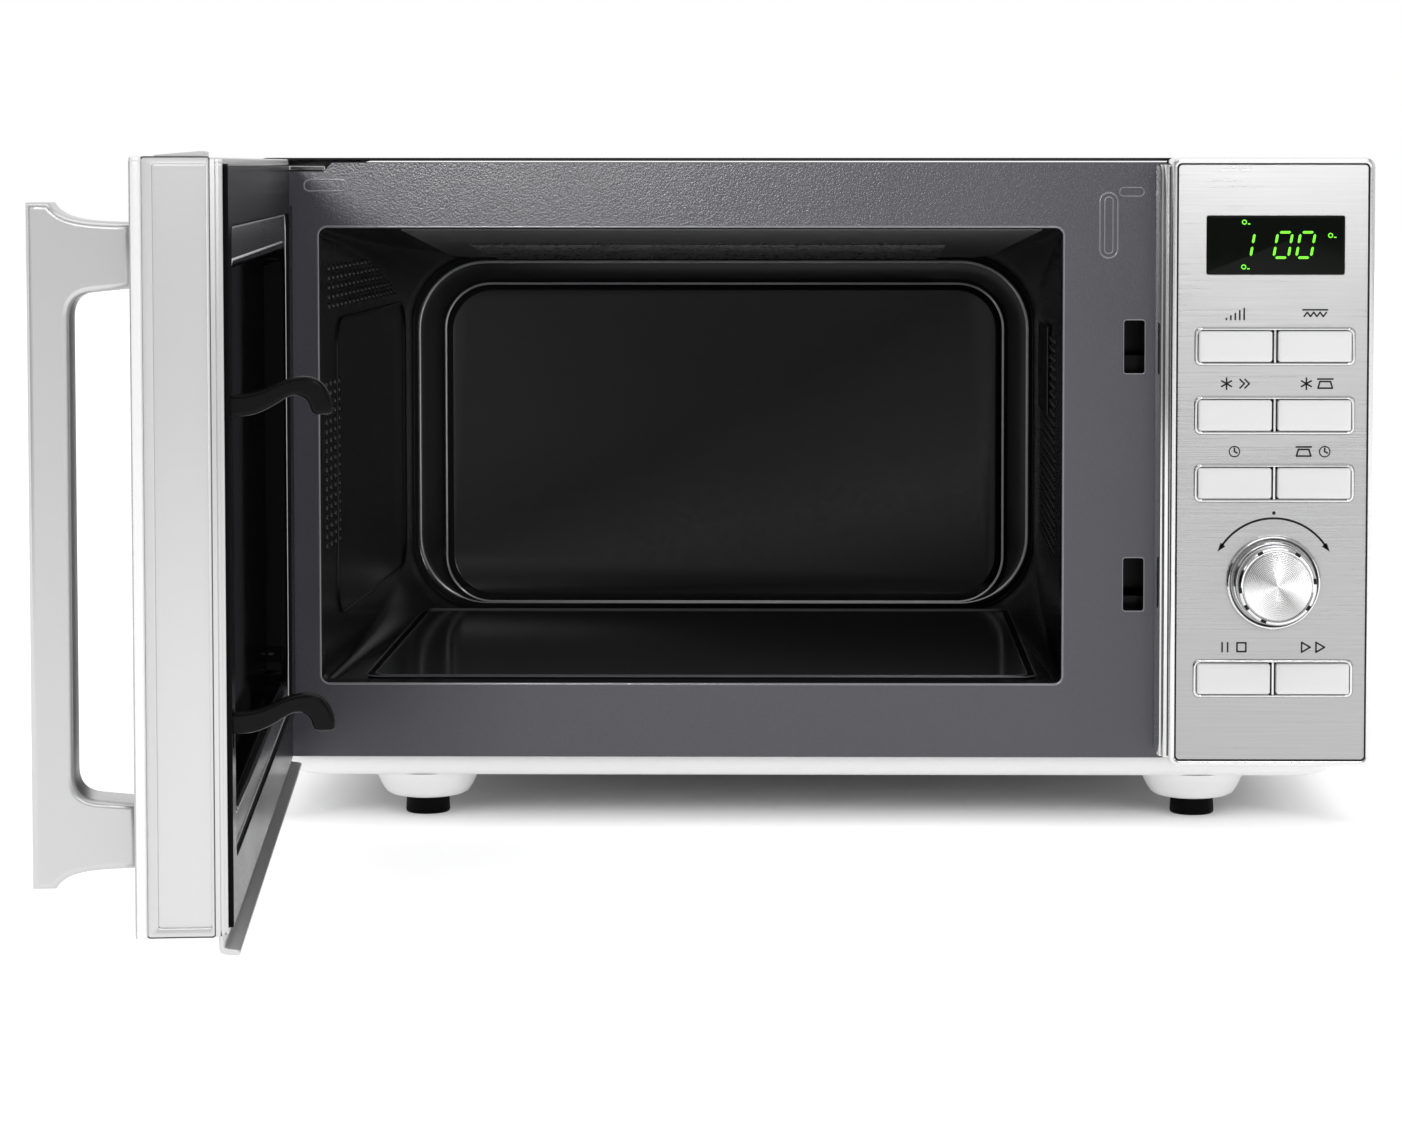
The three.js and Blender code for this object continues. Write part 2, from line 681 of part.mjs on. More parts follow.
// A slotted disc on a shaft that stirs the field under the ceramic plate.
function stirrer() {
  const slots = [
    { x: -28, y: 0, halfX: 9, halfY: 24 },
    { x: 24, y: 22, halfX: 20, halfY: 7 },
    { x: 24, y: -22, halfX: 20, halfY: 7 },
  ];
  const cut = slots.map(({ x, y, halfX, halfY }) =>
    block(
      cavityX + x - halfX,
      cavityX + x + halfX,
      wellY + y - halfY,
      wellY + y + halfY,
      antennaZ - 5,
      antennaZ + 5,
    ),
  );
  return shaped(post(cavityX, wellY, antennaZ, antennaZ + 1.2, STIRRER_RADIUS, 32), {
    add: [post(cavityX, wellY, feed.z0 + GAP, antennaZ + 3, SHAFT_HOLE - 2, 12)],
    cut,
  });
}
part(cabinet, "stirrer_antenna", stirrer(), steel);

// The magnetron: a case with cooling fins, and the antenna dome that reaches down into the waveguide.
const FIN_COUNT = 7;
const FIN_PITCH = 7;
const FIN_THICK = 1.2;
const FIN_EDGE = 3; // the fins stop this far inside the case
function magnetronBody() {
  const { x, y, z0, halfX, halfY, yoke, base, fins, top, anode, dome } = magnetron;
  const plates = [];
  for (let i = 0; i < FIN_COUNT; i++) {
    const z = z0 + base + 6 + i * FIN_PITCH;
    plates.push(
      block(x - halfX + yoke + 2, x + halfX - yoke - 2, y - halfY + FIN_EDGE, y + halfY - FIN_EDGE, z, z + FIN_THICK),
    );
  }
  const side = (x0, x1) => block(x0, x1, y - halfY, y + halfY, z0 + base - 2, z0 + fins);
  return shaped(post(x, y, z0 + base - 2, z0 + fins - 4, anode, 16), {
    add: [
      block(x - halfX, x + halfX, y - halfY, y + halfY, z0, z0 + base),
      side(x - halfX, x - halfX + yoke),
      side(x + halfX - yoke, x + halfX),
      block(x - halfX, x + halfX, y - halfY, y + halfY, z0 + fins - 6, z0 + top),
      post(x, y, z0 - 8, z0 + 1, dome, 16),
      ...plates,
    ],
  });
}
part(cabinet, "magnetron", magnetronBody(), steel);

const TRANSFORMER_OFF_MIDDLE = -3; // from the middle of the bay
const boltedTo = panFloor + PLATE_SHEET + GAP; // the pan's upper face
const trafo = { x: bayX + TRANSFORMER_OFF_MIDDLE, y: wellY + 100, halfX: 42, halfY: 32, height: 70 };
const WINDING_HALF_X = 26;
const WINDING_HALF_Y = 48;
const WINDING_INSET = 14; // from the core's top and bottom
const FLANGE_HALF = 50; // the mounting plate under the core
part(
  cabinet,
  "transformer",
  shaped(
    block(
      trafo.x - trafo.halfX,
      trafo.x + trafo.halfX,
      trafo.y - trafo.halfY,
      trafo.y + trafo.halfY,
      boltedTo,
      boltedTo + trafo.height,
    ),
    {
      add: [
        block(
          trafo.x - WINDING_HALF_X,
          trafo.x + WINDING_HALF_X,
          trafo.y - WINDING_HALF_Y,
          trafo.y + WINDING_HALF_Y,
          boltedTo + WINDING_INSET,
          boltedTo + trafo.height - WINDING_INSET,
        ),
        block(
          trafo.x - FLANGE_HALF,
          trafo.x + FLANGE_HALF,
          trafo.y - trafo.halfY,
          trafo.y + trafo.halfY,
          boltedTo,
          boltedTo + 2,
        ),
      ],
    },
  ),
  copper,
);
const can = { x0: bayX0 + 14, length: 52, y0: wellY - 84, width: 30, height: 74 }; // the capacitor
part(
  cabinet,
  "capacitor",
  level(
    rounded(can.x0, can.x0 + can.length, can.y0, can.y0 + can.width, can.width / 2 - 0.5),
    boltedTo,
    boltedTo + can.height,
  ),
  galvanised,
);
const LAMP_BASE = 16;
const LAMP_HALF = 13;
part(
  cabinet,
  "oven_lamp",
  shaped(rod(9, 26, 12).rotateZ(Math.PI / 2).translate(bayX0 + GAP + 27, lamp.y, lamp.z), {
    add: [
      block(
        bayX0 + GAP,
        bayX0 + GAP + LAMP_BASE,
        lamp.y - LAMP_HALF,
        lamp.y + LAMP_HALF,
        lamp.z - LAMP_HALF,
        lamp.z + LAMP_HALF,
      ),
    ],
  }),
  whitePlastic,
);

// ---------------------------------------------------------------- fan

const shroud = { y0: rear.y0 - 38, y1: rear.y0 - GAP, half: SHROUD_HALF };
function fanShroud() {
  const { y0, y1, half } = shroud;
  return shaped(block(fan.x - half, fan.x + half, y0, y1, fan.z - half, fan.z + half), {
    cut: [
      axle(fan.x, fan.z, y0 + 3, y1 + 5, FAN_RADIUS + 3),
      axle(fan.x, fan.z, y0 - 5, y0 + 5, FAN_RADIUS - 6),
    ],
  });
}
part(cabinet, "fan_shroud", fanShroud(), whitePlastic);
const fanMotor = { y1: shroud.y0 - 6, size: 27 };
part(
  cabinet,
  "fan_motor",
  shaped(
    block(
      fan.x - fanMotor.size,
      fan.x + fanMotor.size,
      fanMotor.y1 - 26,
      fanMotor.y1,
      fan.z - fanMotor.size,
      fan.z + fanMotor.size,
    ),
    {
      add: [
        block(fan.x - shroud.half, fan.x + shroud.half, fanMotor.y1, shroud.y0 - GAP, fan.z - 5, fan.z + 5),
      ],
      cut: [axle(fan.x, fan.z, fanMotor.y1 - 12, shroud.y0 + 1, 3.6, 12)],
    },
  ),
  steel,
);

// Five pitched blades on a hub, with the shaft that goes back into the motor.
function fanBlade() {
  const y = shroud.y0 + 17;
  const blades = Array.from({ length: 5 }, (_, i) => {
    const blade = new THREE.BoxGeometry(FAN_RADIUS - 12, 1.6, 22);
    blade.rotateX(0.6).translate((FAN_RADIUS - 2) / 2 + 5, 0, 0);
    return blade.rotateY((i * Math.PI * 2) / 5).translate(fan.x, y, fan.z);
  });
  return shaped(axle(fan.x, fan.z, y - 9, y + 9, 12, 16), {
    add: [...blades, axle(fan.x, fan.z, fanMotor.y1 - 11, y, 3, 12)],
  });
}
part(cabinet, "fan_blade", fanBlade(), blackPlastic);

// ---------------------------------------------------------------- latch receiver and door switches

const hookBase = [slotZ[0] - 1, slotZ[1] - 3.5]; // middle of each hook's root, at rest
const coverInner = -1.2; // inner face of the choke cover
const LEDGE_CLEAR = 0.8; // a raised beak passes this far above its ledge
const BEAK_DROP = 3;

// The moulding behind the slots: a pocket for each hook with the ledge that its beak drops behind.
function receiver() {
  const [x0, x1] = [slotX - 11, slotX + 11];
  const [y0, y1] = [PLATE_SHEET + GAP, PLATE_SHEET + GAP + 40];
  const z0 = slotZ[1] - SLOT_HEIGHT / 2 - 7;
  const z1 = slotZ[0] + SLOT_HEIGHT / 2 + 7;
  const pocket = (z) =>
    block(
      slotX - SLOT_WIDTH / 2,
      slotX + SLOT_WIDTH / 2,
      y0 - 5,
      y1 - 3,
      z - SLOT_HEIGHT / 2,
      z + SLOT_HEIGHT / 2,
    );
  const ledge = (z, i) =>
    block(
      slotX - SLOT_WIDTH / 2 - 1,
      slotX + SLOT_WIDTH / 2 + 1,
      coverInner + 18.6,
      coverInner + 22.6,
      z - SLOT_HEIGHT / 2 - 1,
      hookBase[i] - BEAK_DROP - LEDGE_CLEAR,
    );
  const body = shaped(block(x0, x1, y0, y1, z0, z1), {
    cut: [
      ...slotZ.map(pocket),
      block(x0 - 1, slotX + 4, y0 + 6, y1 + 1, slotZ[1] + SLOT_HEIGHT / 2 + 5, slotZ[0] - SLOT_HEIGHT / 2 - 5),
    ],
  });
  return shaped(body, { add: slotZ.map(ledge) });
}
part(cabinet, "latch_receiver", receiver(), blackPlastic);
slotZ.forEach((z, i) => {
  const y0 = PLATE_SHEET + 2 * GAP + 40;
  part(
    cabinet,
    ["door_switch_upper", "door_switch_lower"][i],
    shaped(block(slotX - 5, slotX + 5, y0, y0 + 16, z - 14, z + 14), {
      add: [block(slotX - 2, slotX + 2, y0 + 16, y0 + 22, z - 11, z - 8)],
    }),
    whitePlastic,
  );
});

// ---------------------------------------------------------------- control panel

// Heights of the display, three pairs of buttons, knob and last pair, spread down the fascia.
const rows = [
  { kind: "display", size: DISPLAY_HEIGHT, space: 23.4 },
  { kind: "pair", size: PAIR_HEIGHT, space: 23.9 },
  { kind: "pair", size: PAIR_HEIGHT, space: 13.9 },
  { kind: "pair", size: PAIR_HEIGHT, space: 13.5 },
  { kind: "knob", size: 2 * BEZEL_RADIUS, space: 14.9 },
  { kind: "pair", size: PAIR_HEIGHT, space: 13.5 },
];
const LAST_SPACE = 28.6;
const fasciaBox = {
  x0: panel.x0 + PANEL_RIM,
  x1: panel.x1 - PANEL_RIM,
  z0: panel.z0 + PANEL_RIM,
  z1: panel.z1 - PANEL_RIM,
};
const taken = rows.reduce((sum, row) => sum + row.size, 0);
const spaces = rows.reduce((sum, row) => sum + row.space, LAST_SPACE);
const stretch = (fasciaBox.z1 - fasciaBox.z0 - taken) / spaces;
let cursor = fasciaBox.z1;
for (const row of rows) {
  row.z = cursor - row.space * stretch - row.size / 2;
  cursor = row.z - row.size / 2;
}
const displayZ = rows.find((row) => row.kind === "display").z;
const knobZ = rows.find((row) => row.kind === "knob").z;
const pairZ = rows.filter((row) => row.kind === "pair").map((row) => row.z);

const holeWidth = (pairWidth - 2 * RING_WALL - BUTTON_GAP) / 2;
const holeHeight = PAIR_HEIGHT - 2 * RING_WALL;
const buttonX = [panelX - (holeWidth + BUTTON_GAP) / 2, panelX + (holeWidth + BUTTON_GAP) / 2];
const floorY = -FRONT + 1; // the recess that the fascia lies in
const ringY = -FRONT - 0.6; // the rings stand this proud

function pairOutline(z, grow, Kind) {
  const [u, v] = [pairWidth / 2 + grow, PAIR_HEIGHT / 2 + grow];
  return rounded(panelX - u, panelX + u, z - v, z + v, 3 + grow, Kind);
}

// The panel moulding: an open-backed box with a rim, four button rings and a stepped side next to the door.
function controlFrame() {
  const outline = rounded(panel.x0, panel.x1, panel.z0, panel.z1, PANEL_CORNER);
  const inside = rounded(
    panel.x0 + PANEL_WALL,
    panel.x1 - PANEL_WALL,
    panel.z0 + PANEL_WALL,
    panel.z1 - PANEL_WALL,
    PANEL_CORNER - 1,
  );
  const recess = rounded(fasciaBox.x0, fasciaBox.x1, fasciaBox.z0, fasciaBox.z1, 2);
  const sideStep = across(
    polygon([
      [-FRONT + STEP_BACK, panel.z0 + 4],
      [-GAP, panel.z0 + 4],
      [-GAP, panel.z1 - 4],
      [-FRONT + STEP_BACK, panel.z1 - 4],
    ]),
    panel.x0 - PANEL_STEP,
    panel.x0 + 1,
  );
  const rings = pairZ.map((z) => upright(pairOutline(z, 0), ringY, floorY + 1));
  const holes = pairZ.flatMap((z) =>
    buttonX.map((x) =>
      block(
        x - holeWidth / 2,
        x + holeWidth / 2,
        ringY - 1,
        floorY + 9,
        z - holeHeight / 2,
        z + holeHeight / 2,
      ),
    ),
  );
  const shell = shaped(upright(outline, -FRONT, -GAP), {
    add: [sideStep],
    cut: [upright(inside, floorY + PANEL_WALL, 5), upright(recess, -FRONT - 5, floorY)],
  });
  return shaped(shell, {
    add: rings,
    cut: [
      ...holes,
      block(
        panelX - displayWidth / 2 + 3,
        panelX + displayWidth / 2 - 3,
        floorY - 1,
        floorY + 9,
        displayZ - DISPLAY_HEIGHT / 2 + 3,
        displayZ + DISPLAY_HEIGHT / 2 - 3,
      ),
      axle(panelX, knobZ, floorY - 1, floorY + 9, SHAFT_RADIUS + 1, 16),
    ],
  });
}
part(cabinet, "control_frame", controlFrame(), silver);

function controlFascia() {
  const edge = 0.4;
  const sheet = rounded(
    fasciaBox.x0 + edge,
    fasciaBox.x1 - edge,
    fasciaBox.z0 + edge,
    fasciaBox.z1 - edge,
    2,
  );
  for (const z of pairZ) sheet.holes.push(pairOutline(z, GAP, THREE.Path));
  sheet.holes.push(
    rounded(
      panelX - displayWidth / 2 - GAP,
      panelX + displayWidth / 2 + GAP,
      displayZ - DISPLAY_HEIGHT / 2 - GAP,
      displayZ + DISPLAY_HEIGHT / 2 + GAP,
      1,
      THREE.Path,
    ),
  );
  sheet.holes.push(new THREE.Path().absarc(panelX, knobZ, SHAFT_RADIUS + 1, 0, Math.PI * 2, true));
  return upright(sheet, floorY - 0.1 - FASCIA_THICK, floorY - 0.1);
}
part(cabinet, "control_fascia", controlFascia(), brushed);

const fasciaFace = floorY - 0.1 - FASCIA_THICK;
part(
  cabinet,
  "display_window",
  block(
    panelX - displayWidth / 2,
    panelX + displayWidth / 2,
    fasciaFace - 0.2,
    floorY - 0.1,
    displayZ - DISPLAY_HEIGHT / 2,
    displayZ + DISPLAY_HEIGHT / 2,
  ),
  display,
);
const boardFace = -FRONT + BOARD_BACK;
part(
  cabinet,
  "display_module",
  block(
    panelX - displayWidth / 2 + 1,
    panelX + displayWidth / 2 - 1,
    floorY + PANEL_WALL + GAP,
    boardFace - GAP,
    displayZ - DISPLAY_HEIGHT / 2 + 1,
    displayZ + DISPLAY_HEIGHT / 2 - 1,
  ),
  display,
);

const SWITCH_HEIGHT = 3;
const ENCODER_HALF = 6.5;
part(
  cabinet,
  "control_board",
  shaped(
    block(
      panel.x0 + PANEL_WALL + 3,
      panel.x1 - PANEL_WALL - 3,
      boardFace,
      boardFace + 1.6,
      panel.z0 + 12,
      panel.z1 - 8,
    ),
    {
      add: pairZ.flatMap((z) =>
        buttonX.map((x) => block(x - 3, x + 3, boardFace - SWITCH_HEIGHT, boardFace + 0.5, z - 3, z + 3)),
      ),
    },
  ),
  board,
);
part(
  cabinet,
  "rotary_encoder",
  shaped(
    block(
      panelX - ENCODER_HALF,
      panelX + ENCODER_HALF,
      floorY + PANEL_WALL + GAP,
      boardFace - GAP,
      knobZ - ENCODER_HALF,
      knobZ + ENCODER_HALF,
    ),
    { cut: [axle(panelX, knobZ, floorY, boardFace - 3, SHAFT_RADIUS + PIN_FIT, 16)] },
  ),
  galvanised,
);

const buttonNames = [
  ["button_power_level", "button_grill"],
  ["button_speed_defrost", "button_auto_defrost"],
  ["button_preset", "button_weight_clock"],
  ["button_stop", "button_start"],
];
pairZ.forEach((z, row) =>
  buttonX.forEach((x, side) => {
    const u = holeWidth / 2 - BUTTON_FIT;
    const v = holeHeight / 2 - BUTTON_FIT;
    const cap = upright(
      rounded(x - u, x + u, z - v, z + v, 1),
      ringY - BUTTON_PROUD + 0.6,
      floorY + PANEL_WALL + 1,
    );
    const stemEnd = boardFace - SWITCH_HEIGHT - BUTTON_TRAVEL - GAP;
    part(
      cabinet,
      buttonNames[row][side],
      shaped(cap, { add: [block(x - 2, x + 2, floorY + PANEL_WALL, stemEnd, z - 2, z + 2)] }),
      silver,
    );
  }),
);

part(
  cabinet,
  "knob_bezel",
  shaped(axle(panelX, knobZ, fasciaFace - 3, fasciaFace - 0.1, BEZEL_RADIUS - 0.6, 32, BEZEL_RADIUS), {
    cut: [axle(panelX, knobZ, fasciaFace - 5, fasciaFace + 5, BEZEL_RADIUS - BEZEL_WALL, 32)],
  }),
  chrome,
);
const knobBack = fasciaFace - 0.8;
part(
  cabinet,
  "knob",
  shaped(
    turned(
      [
        [0, 0],
        [KNOB_RADIUS, 0],
        [KNOB_RADIUS, 3],
        [KNOB_RADIUS - 1.4, KNOB_HEIGHT - 1.8],
        [KNOB_RADIUS - 3, KNOB_HEIGHT],
        [0, KNOB_HEIGHT],
      ],
      panelX,
      knobBack,
      knobZ,
      32,
    ),
    { cut: [axle(panelX, knobZ, knobBack - 9, knobBack + 1, SHAFT_RADIUS + 0.1, 16)] },
  ),
  chrome,
);
part(cabinet, "knob_shaft", axle(panelX, knobZ, knobBack - 8.5, boardFace - 3.5, SHAFT_RADIUS - 0.1, 16), steel);

// ---------------------------------------------------------------- hinges

const TONGUE_HALF = 7;
const TONGUE_THICK = 2.5;
const PIN_LENGTH = 8;
const FLANGE_THICK = 1.2;
const FLANGE_RISE = 4;
const tongueZ = { upper: plateTop - 7, lower: plateBottom + 6 };

// A flat tongue fixed to the plate, rounded about its pin. The pin points into the door.
function hinge(z, pinDown) {
  const tongue = new THREE.Shape();
  tongue.moveTo(hingeX - TONGUE_HALF, -GAP);
  tongue.lineTo(hingeX - TONGUE_HALF, hingeY);
  tongue.absarc(hingeX, hingeY, TONGUE_HALF, Math.PI, Math.PI * 2, false);
  tongue.lineTo(hingeX + TONGUE_HALF, -GAP);
  const flange = block(
    hingeX - TONGUE_HALF,
    hingeX + TONGUE_HALF,
    -GAP - FLANGE_THICK,
    -GAP,
    z - (pinDown ? 0 : FLANGE_RISE),
    z + TONGUE_THICK + (pinDown ? FLANGE_RISE : 0),
  );
  const pin = pinDown
    ? post(hingeX, hingeY, z - PIN_LENGTH, z + 1, HINGE_PIN_RADIUS, 16)
    : post(hingeX, hingeY, z + 1, z + TONGUE_THICK + PIN_LENGTH, HINGE_PIN_RADIUS, 16);
  return shaped(level(tongue, z, z + TONGUE_THICK), { add: [pin, flange] });
}
part(cabinet, "upper_hinge", hinge(tongueZ.upper, true), galvanised);
part(cabinet, "lower_hinge", hinge(tongueZ.lower, false), galvanised);

// ---------------------------------------------------------------- door

const doorX0 = left;
const bar = {
  x0: hookX - 3,
  x1: hookX + 3,
  y0: -14,
  y1: -6,
  z0: hookBase[1] - 14,
  z1: hookBase[0] + 14,
}; // the latch bar that carries both hooks
const SPRING_LENGTH = 18;
const frameFront = -FRONT + 0.8; // the steel skin lies on this
const frameBack = -3;
const edgeInside = doorX1 - PANEL_STEP - EDGE_RECESS - 2; // inside of that edge
const edgeFace = doorX1 - PANEL_STEP; // the free edge steps in behind the front rim
const viewport = {
  x0: doorX0 + WINDOW_MARGIN_X,
  x1: doorX1 - WINDOW_MARGIN_X,
  z0: doorZ0 + WINDOW_MARGIN_Z,
  z1: doorZ1 - WINDOW_MARGIN_Z,
};
const hingePocket = { x: hingeX + TONGUE_HALF + 3, y: hingeY - TONGUE_HALF - 4.5, deep: TONGUE_THICK + 3 };
const HINGE_BLOCK = 26;

// Two shelves on the frame's edge wall: one over the latch bar and one under its spring.
function latchSeats() {
  const over = bar.z1 + GAP;
  const under = bar.z0 - SPRING_LENGTH - GAP;
  return [
    block(bar.x0 - 1, edgeInside + 0.5, bar.y0, bar.y1, over, over + 2),
    block(bar.x0 - 1, edgeInside + 0.5, bar.y0, bar.y1, under - 2, under),
  ];
}

// What is taken off the hinge-side corner so that it turns past the front plate.
function swingCorner(clear) {
  const z0 = doorZ0 - 20;
  const z1 = doorZ1 + 20;
  return shaped(block(doorX0 - 5, hingeX, hingeY, 5, z0, z1), {
    cut: [post(hingeX, hingeY, z0 - 1, z1 + 1, HINGE_FORWARD - clear, 32)],
  });
}

// The moulded frame: front wall with the window, four side walls, a channel down the free edge,
// a block for each hinge pin and the lip that closes under the cabinet.
function doorFrame() {
  const face = rounded(doorX0, doorX1, doorZ0, doorZ1, 3);
  face.holes.push(rounded(viewport.x0, viewport.x1, viewport.z0, viewport.z1, 10, THREE.Path));
  const w = DOOR_WALL;
  const walls = rounded(doorX0, edgeFace, doorZ0, doorZ1, 3);
  walls.holes.push(
    rounded(doorX0 + w, edgeInside, doorZ0 + w, doorZ1 - w, 2, THREE.Path),
  );
  const channelY = -14.5;
  const channel = block(
    edgeFace - EDGE_RECESS,
    doorX1 + 1,
    channelY - EDGE_RECESS_WIDTH / 2,
    channelY + EDGE_RECESS_WIDTH / 2,
    doorZ0 + 3,
    doorZ1 - 3,
  );
  const inDoor = [
    block(doorX0 + 0.5, doorX0 + HINGE_BLOCK, frameFront + 1, frameBack, doorZ0 + 1, tongueZ.lower + 14),
    block(doorX0 + 0.5, doorX0 + HINGE_BLOCK, frameFront + 1, frameBack, tongueZ.upper - 12, doorZ1 - 1),
  ];
  const pockets = [tongueZ.upper, tongueZ.lower].map((z) =>
    block(doorX0 - 1, hingePocket.x, hingePocket.y, 5, z - 1.2, z + TONGUE_THICK + 1.2),
  );
  const pinHoles = [
    post(hingeX, hingeY, tongueZ.upper - PIN_LENGTH - 1.5, tongueZ.upper, HINGE_PIN_RADIUS + PIN_FIT, 16),
    post(
      hingeX,
      hingeY,
      tongueZ.lower + 1,
      tongueZ.lower + TONGUE_THICK + PIN_LENGTH + 1.5,
      HINGE_PIN_RADIUS + PIN_FIT,
      16,
    ),
  ];
  const lip = across(
    polygon([
      [frameBack - 5, doorZ0 + 1.5],
      [frameBack - 5, doorZ0 - 5.5],
      [coverInner + LIP_REACH, doorZ0 - 5.5],
      [coverInner + LIP_REACH, doorZ0 - 3.5],
      [frameBack - 3, doorZ0 - 3.5],
      [frameBack - 3, doorZ0 + 1.5],
    ]),
    doorX0 + 1,
    edgeFace,
  );
  const visor = across(
    polygon([
      [frameFront + 6, doorZ1 - 0.5],
      [-9, doorZ1 + 1.8],
      [-9, doorZ1 - 0.5],
    ]),
    doorX0 + 2,
    doorX1 - 2,
  );
  return shaped(upright(face, frameFront, frameFront + 3), {
    add: [upright(walls, frameFront + 1, frameBack), ...inDoor, ...latchSeats(), lip, visor],
    cut: [channel, ...pockets, ...pinHoles, swingCorner(SWING_CLEAR)],
  });
}
part(door, "door_frame", doorFrame(), silver);

function doorSkin() {
  const sheet = rounded(doorX0 + 0.5, doorX1 - 0.5, doorZ0 + 0.5, doorZ1 - 0.5, 3);
  sheet.holes.push(rounded(viewport.x0 - 1, viewport.x1 + 1, viewport.z0 - 1, viewport.z1 + 1, 11, THREE.Path));
  return upright(sheet, -FRONT, frameFront - GAP);
}
part(door, "door_skin", doorSkin(), brushed);

const paneY = frameFront + 3 + GAP;
part(
  door,
  "door_glass",
  upright(
    rounded(viewport.x0 - 8, viewport.x1 + 8, viewport.z0 - 8, viewport.z1 + 8, 6),
    paneY,
    paneY + GLASS_THICK,
  ),
  blackGlass,
);

const coverBack = -3.6;
const cover = {
  x0: doorX0 + DOOR_WALL + GAP,
  x1: edgeInside - GAP,
  z0: doorZ0 + DOOR_WALL + GAP,
  z1: doorZ1 - DOOR_WALL - GAP,
};
const screen = {
  x0: doorX0 + HINGE_BLOCK + 1,
  x1: hookX - HOOK_THICK / 2 - 5,
  z0: cover.z0 + 2,
  z1: cover.z1 - 2,
};
const pane = {
  x0: doorX0 + COVER_BAND + SCREEN_RIM + 8,
  x1: screen.x1 - SCREEN_RIM,
  z0: cover.z0 + COVER_BAND + SCREEN_RIM,
  z1: cover.z1 - COVER_BAND - SCREEN_RIM,
};

// The painted steel screen: a rim, and a dish with round corners that the window lies in.
function doorScreen() {
  const rimY = coverBack - GAP - 1;
  const bottomY = rimY - SCREEN_SINK;
  const outer = rounded(pane.x0 - 1, pane.x1 + 1, pane.z0 - 1, pane.z1 + 1, 17);
  const inner = rounded(pane.x0, pane.x1, pane.z0, pane.z1, 16);
  return shaped(upright(rounded(screen.x0, screen.x1, screen.z0, screen.z1, 4), rimY, rimY + 1), {
    add: [upright(outer, bottomY - 1, rimY + 0.5)],
    cut: [upright(inner, bottomY, rimY + 5)],
  });
}
part(door, "door_screen", doorScreen(), darkEnamel);

const paneInset = 0.5;
const innerPaneY = coverBack - GAP - 1 - SCREEN_SINK + GAP;
part(
  door,
  "inner_window",
  upright(
    rounded(
      pane.x0 + paneInset,
      pane.x1 - paneInset,
      pane.z0 + paneInset,
      pane.z1 - paneInset,
      16 - paneInset,
    ),
    innerPaneY,
    innerPaneY + 1,
  ),
  blackGlass,
);

// The black ring that hides the choke, with a hole for each latch hook and room for the hinge tongues.
function chokeCover() {
  const ring = rounded(cover.x0, cover.x1, cover.z0, cover.z1, 3);
  ring.holes.push(
    rounded(
      pane.x0 - SCREEN_RIM,
      pane.x1 + SCREEN_RIM - 3,
      pane.z0 - SCREEN_RIM,
      pane.z1 + SCREEN_RIM,
      6,
      THREE.Path,
    ),
  );
  for (const z of hookBase)
    ring.holes.push(rounded(hookX - 2.8, hookX + 2.8, z - 5 - LATCH_TRAVEL, z + 5, 1, THREE.Path));
  const corners = [
    block(cover.x0 - 1, doorX0 + HINGE_BLOCK + 0.5, -9, 9, tongueZ.upper - 12.5, cover.z1 + 1),
    block(cover.x0 - 1, doorX0 + HINGE_BLOCK + 0.5, -9, 9, cover.z0 - 1, tongueZ.lower + 14.5),
  ];
  return shaped(upright(ring, coverBack, coverInner), {
    cut: [...corners, swingCorner(COVER_SWING_CLEAR)],
  });
}
part(door, "choke_cover", chokeCover(), blackPlastic);

// ---------------------------------------------------------------- handle

const handleX = doorX1 - HANDLE_FROM_EDGE;
const handleLength = doorZ1 - doorZ0 - 2 * HANDLE_END;
const handleFoot = -FRONT - GAP;

// The handle's side view: a straight grip whose ends stand past two arms that sweep into the door.
function handleOutline() {
  const out = handleFoot - HANDLE_REACH;
  const grip = out + HANDLE_BAR;
  const half = handleLength / 2;
  const z = doorMidZ;
  const side = new THREE.Shape();
  side.moveTo(out, z - half);
  side.lineTo(out + 9, z - half);
  side.bezierCurveTo(out + 13, z - half + 6, out + 20, z - half + 7.5, handleFoot, z - half + 8);
  side.lineTo(handleFoot, z - half + 30);
  side.lineTo(grip + 9, z - half + 31.5);
  side.quadraticCurveTo(grip, z - half + 33, grip, z - half + 42);
  side.lineTo(grip, z + half - 42);
  side.quadraticCurveTo(grip, z + half - 33, grip + 9, z + half - 31.5);
  side.lineTo(handleFoot, z + half - 30);
  side.lineTo(handleFoot, z + half - 8);
  side.bezierCurveTo(out + 20, z + half - 7.5, out + 13, z + half - 6, out + 9, z + half);
  side.lineTo(out, z + half);
  return side;
}
const handleScrews = [doorMidZ + handleLength / 2 - 19, doorMidZ - handleLength / 2 + 19];
part(
  door,
  "handle",
  shaped(across(handleOutline(), handleX - HANDLE_WIDTH / 2, handleX + HANDLE_WIDTH / 2), {
    cut: handleScrews.map((z) => axle(handleX, z, handleFoot - 14, handleFoot + 5, 2.3, 12)),
  }),
  silver,
);

// ---------------------------------------------------------------- latch


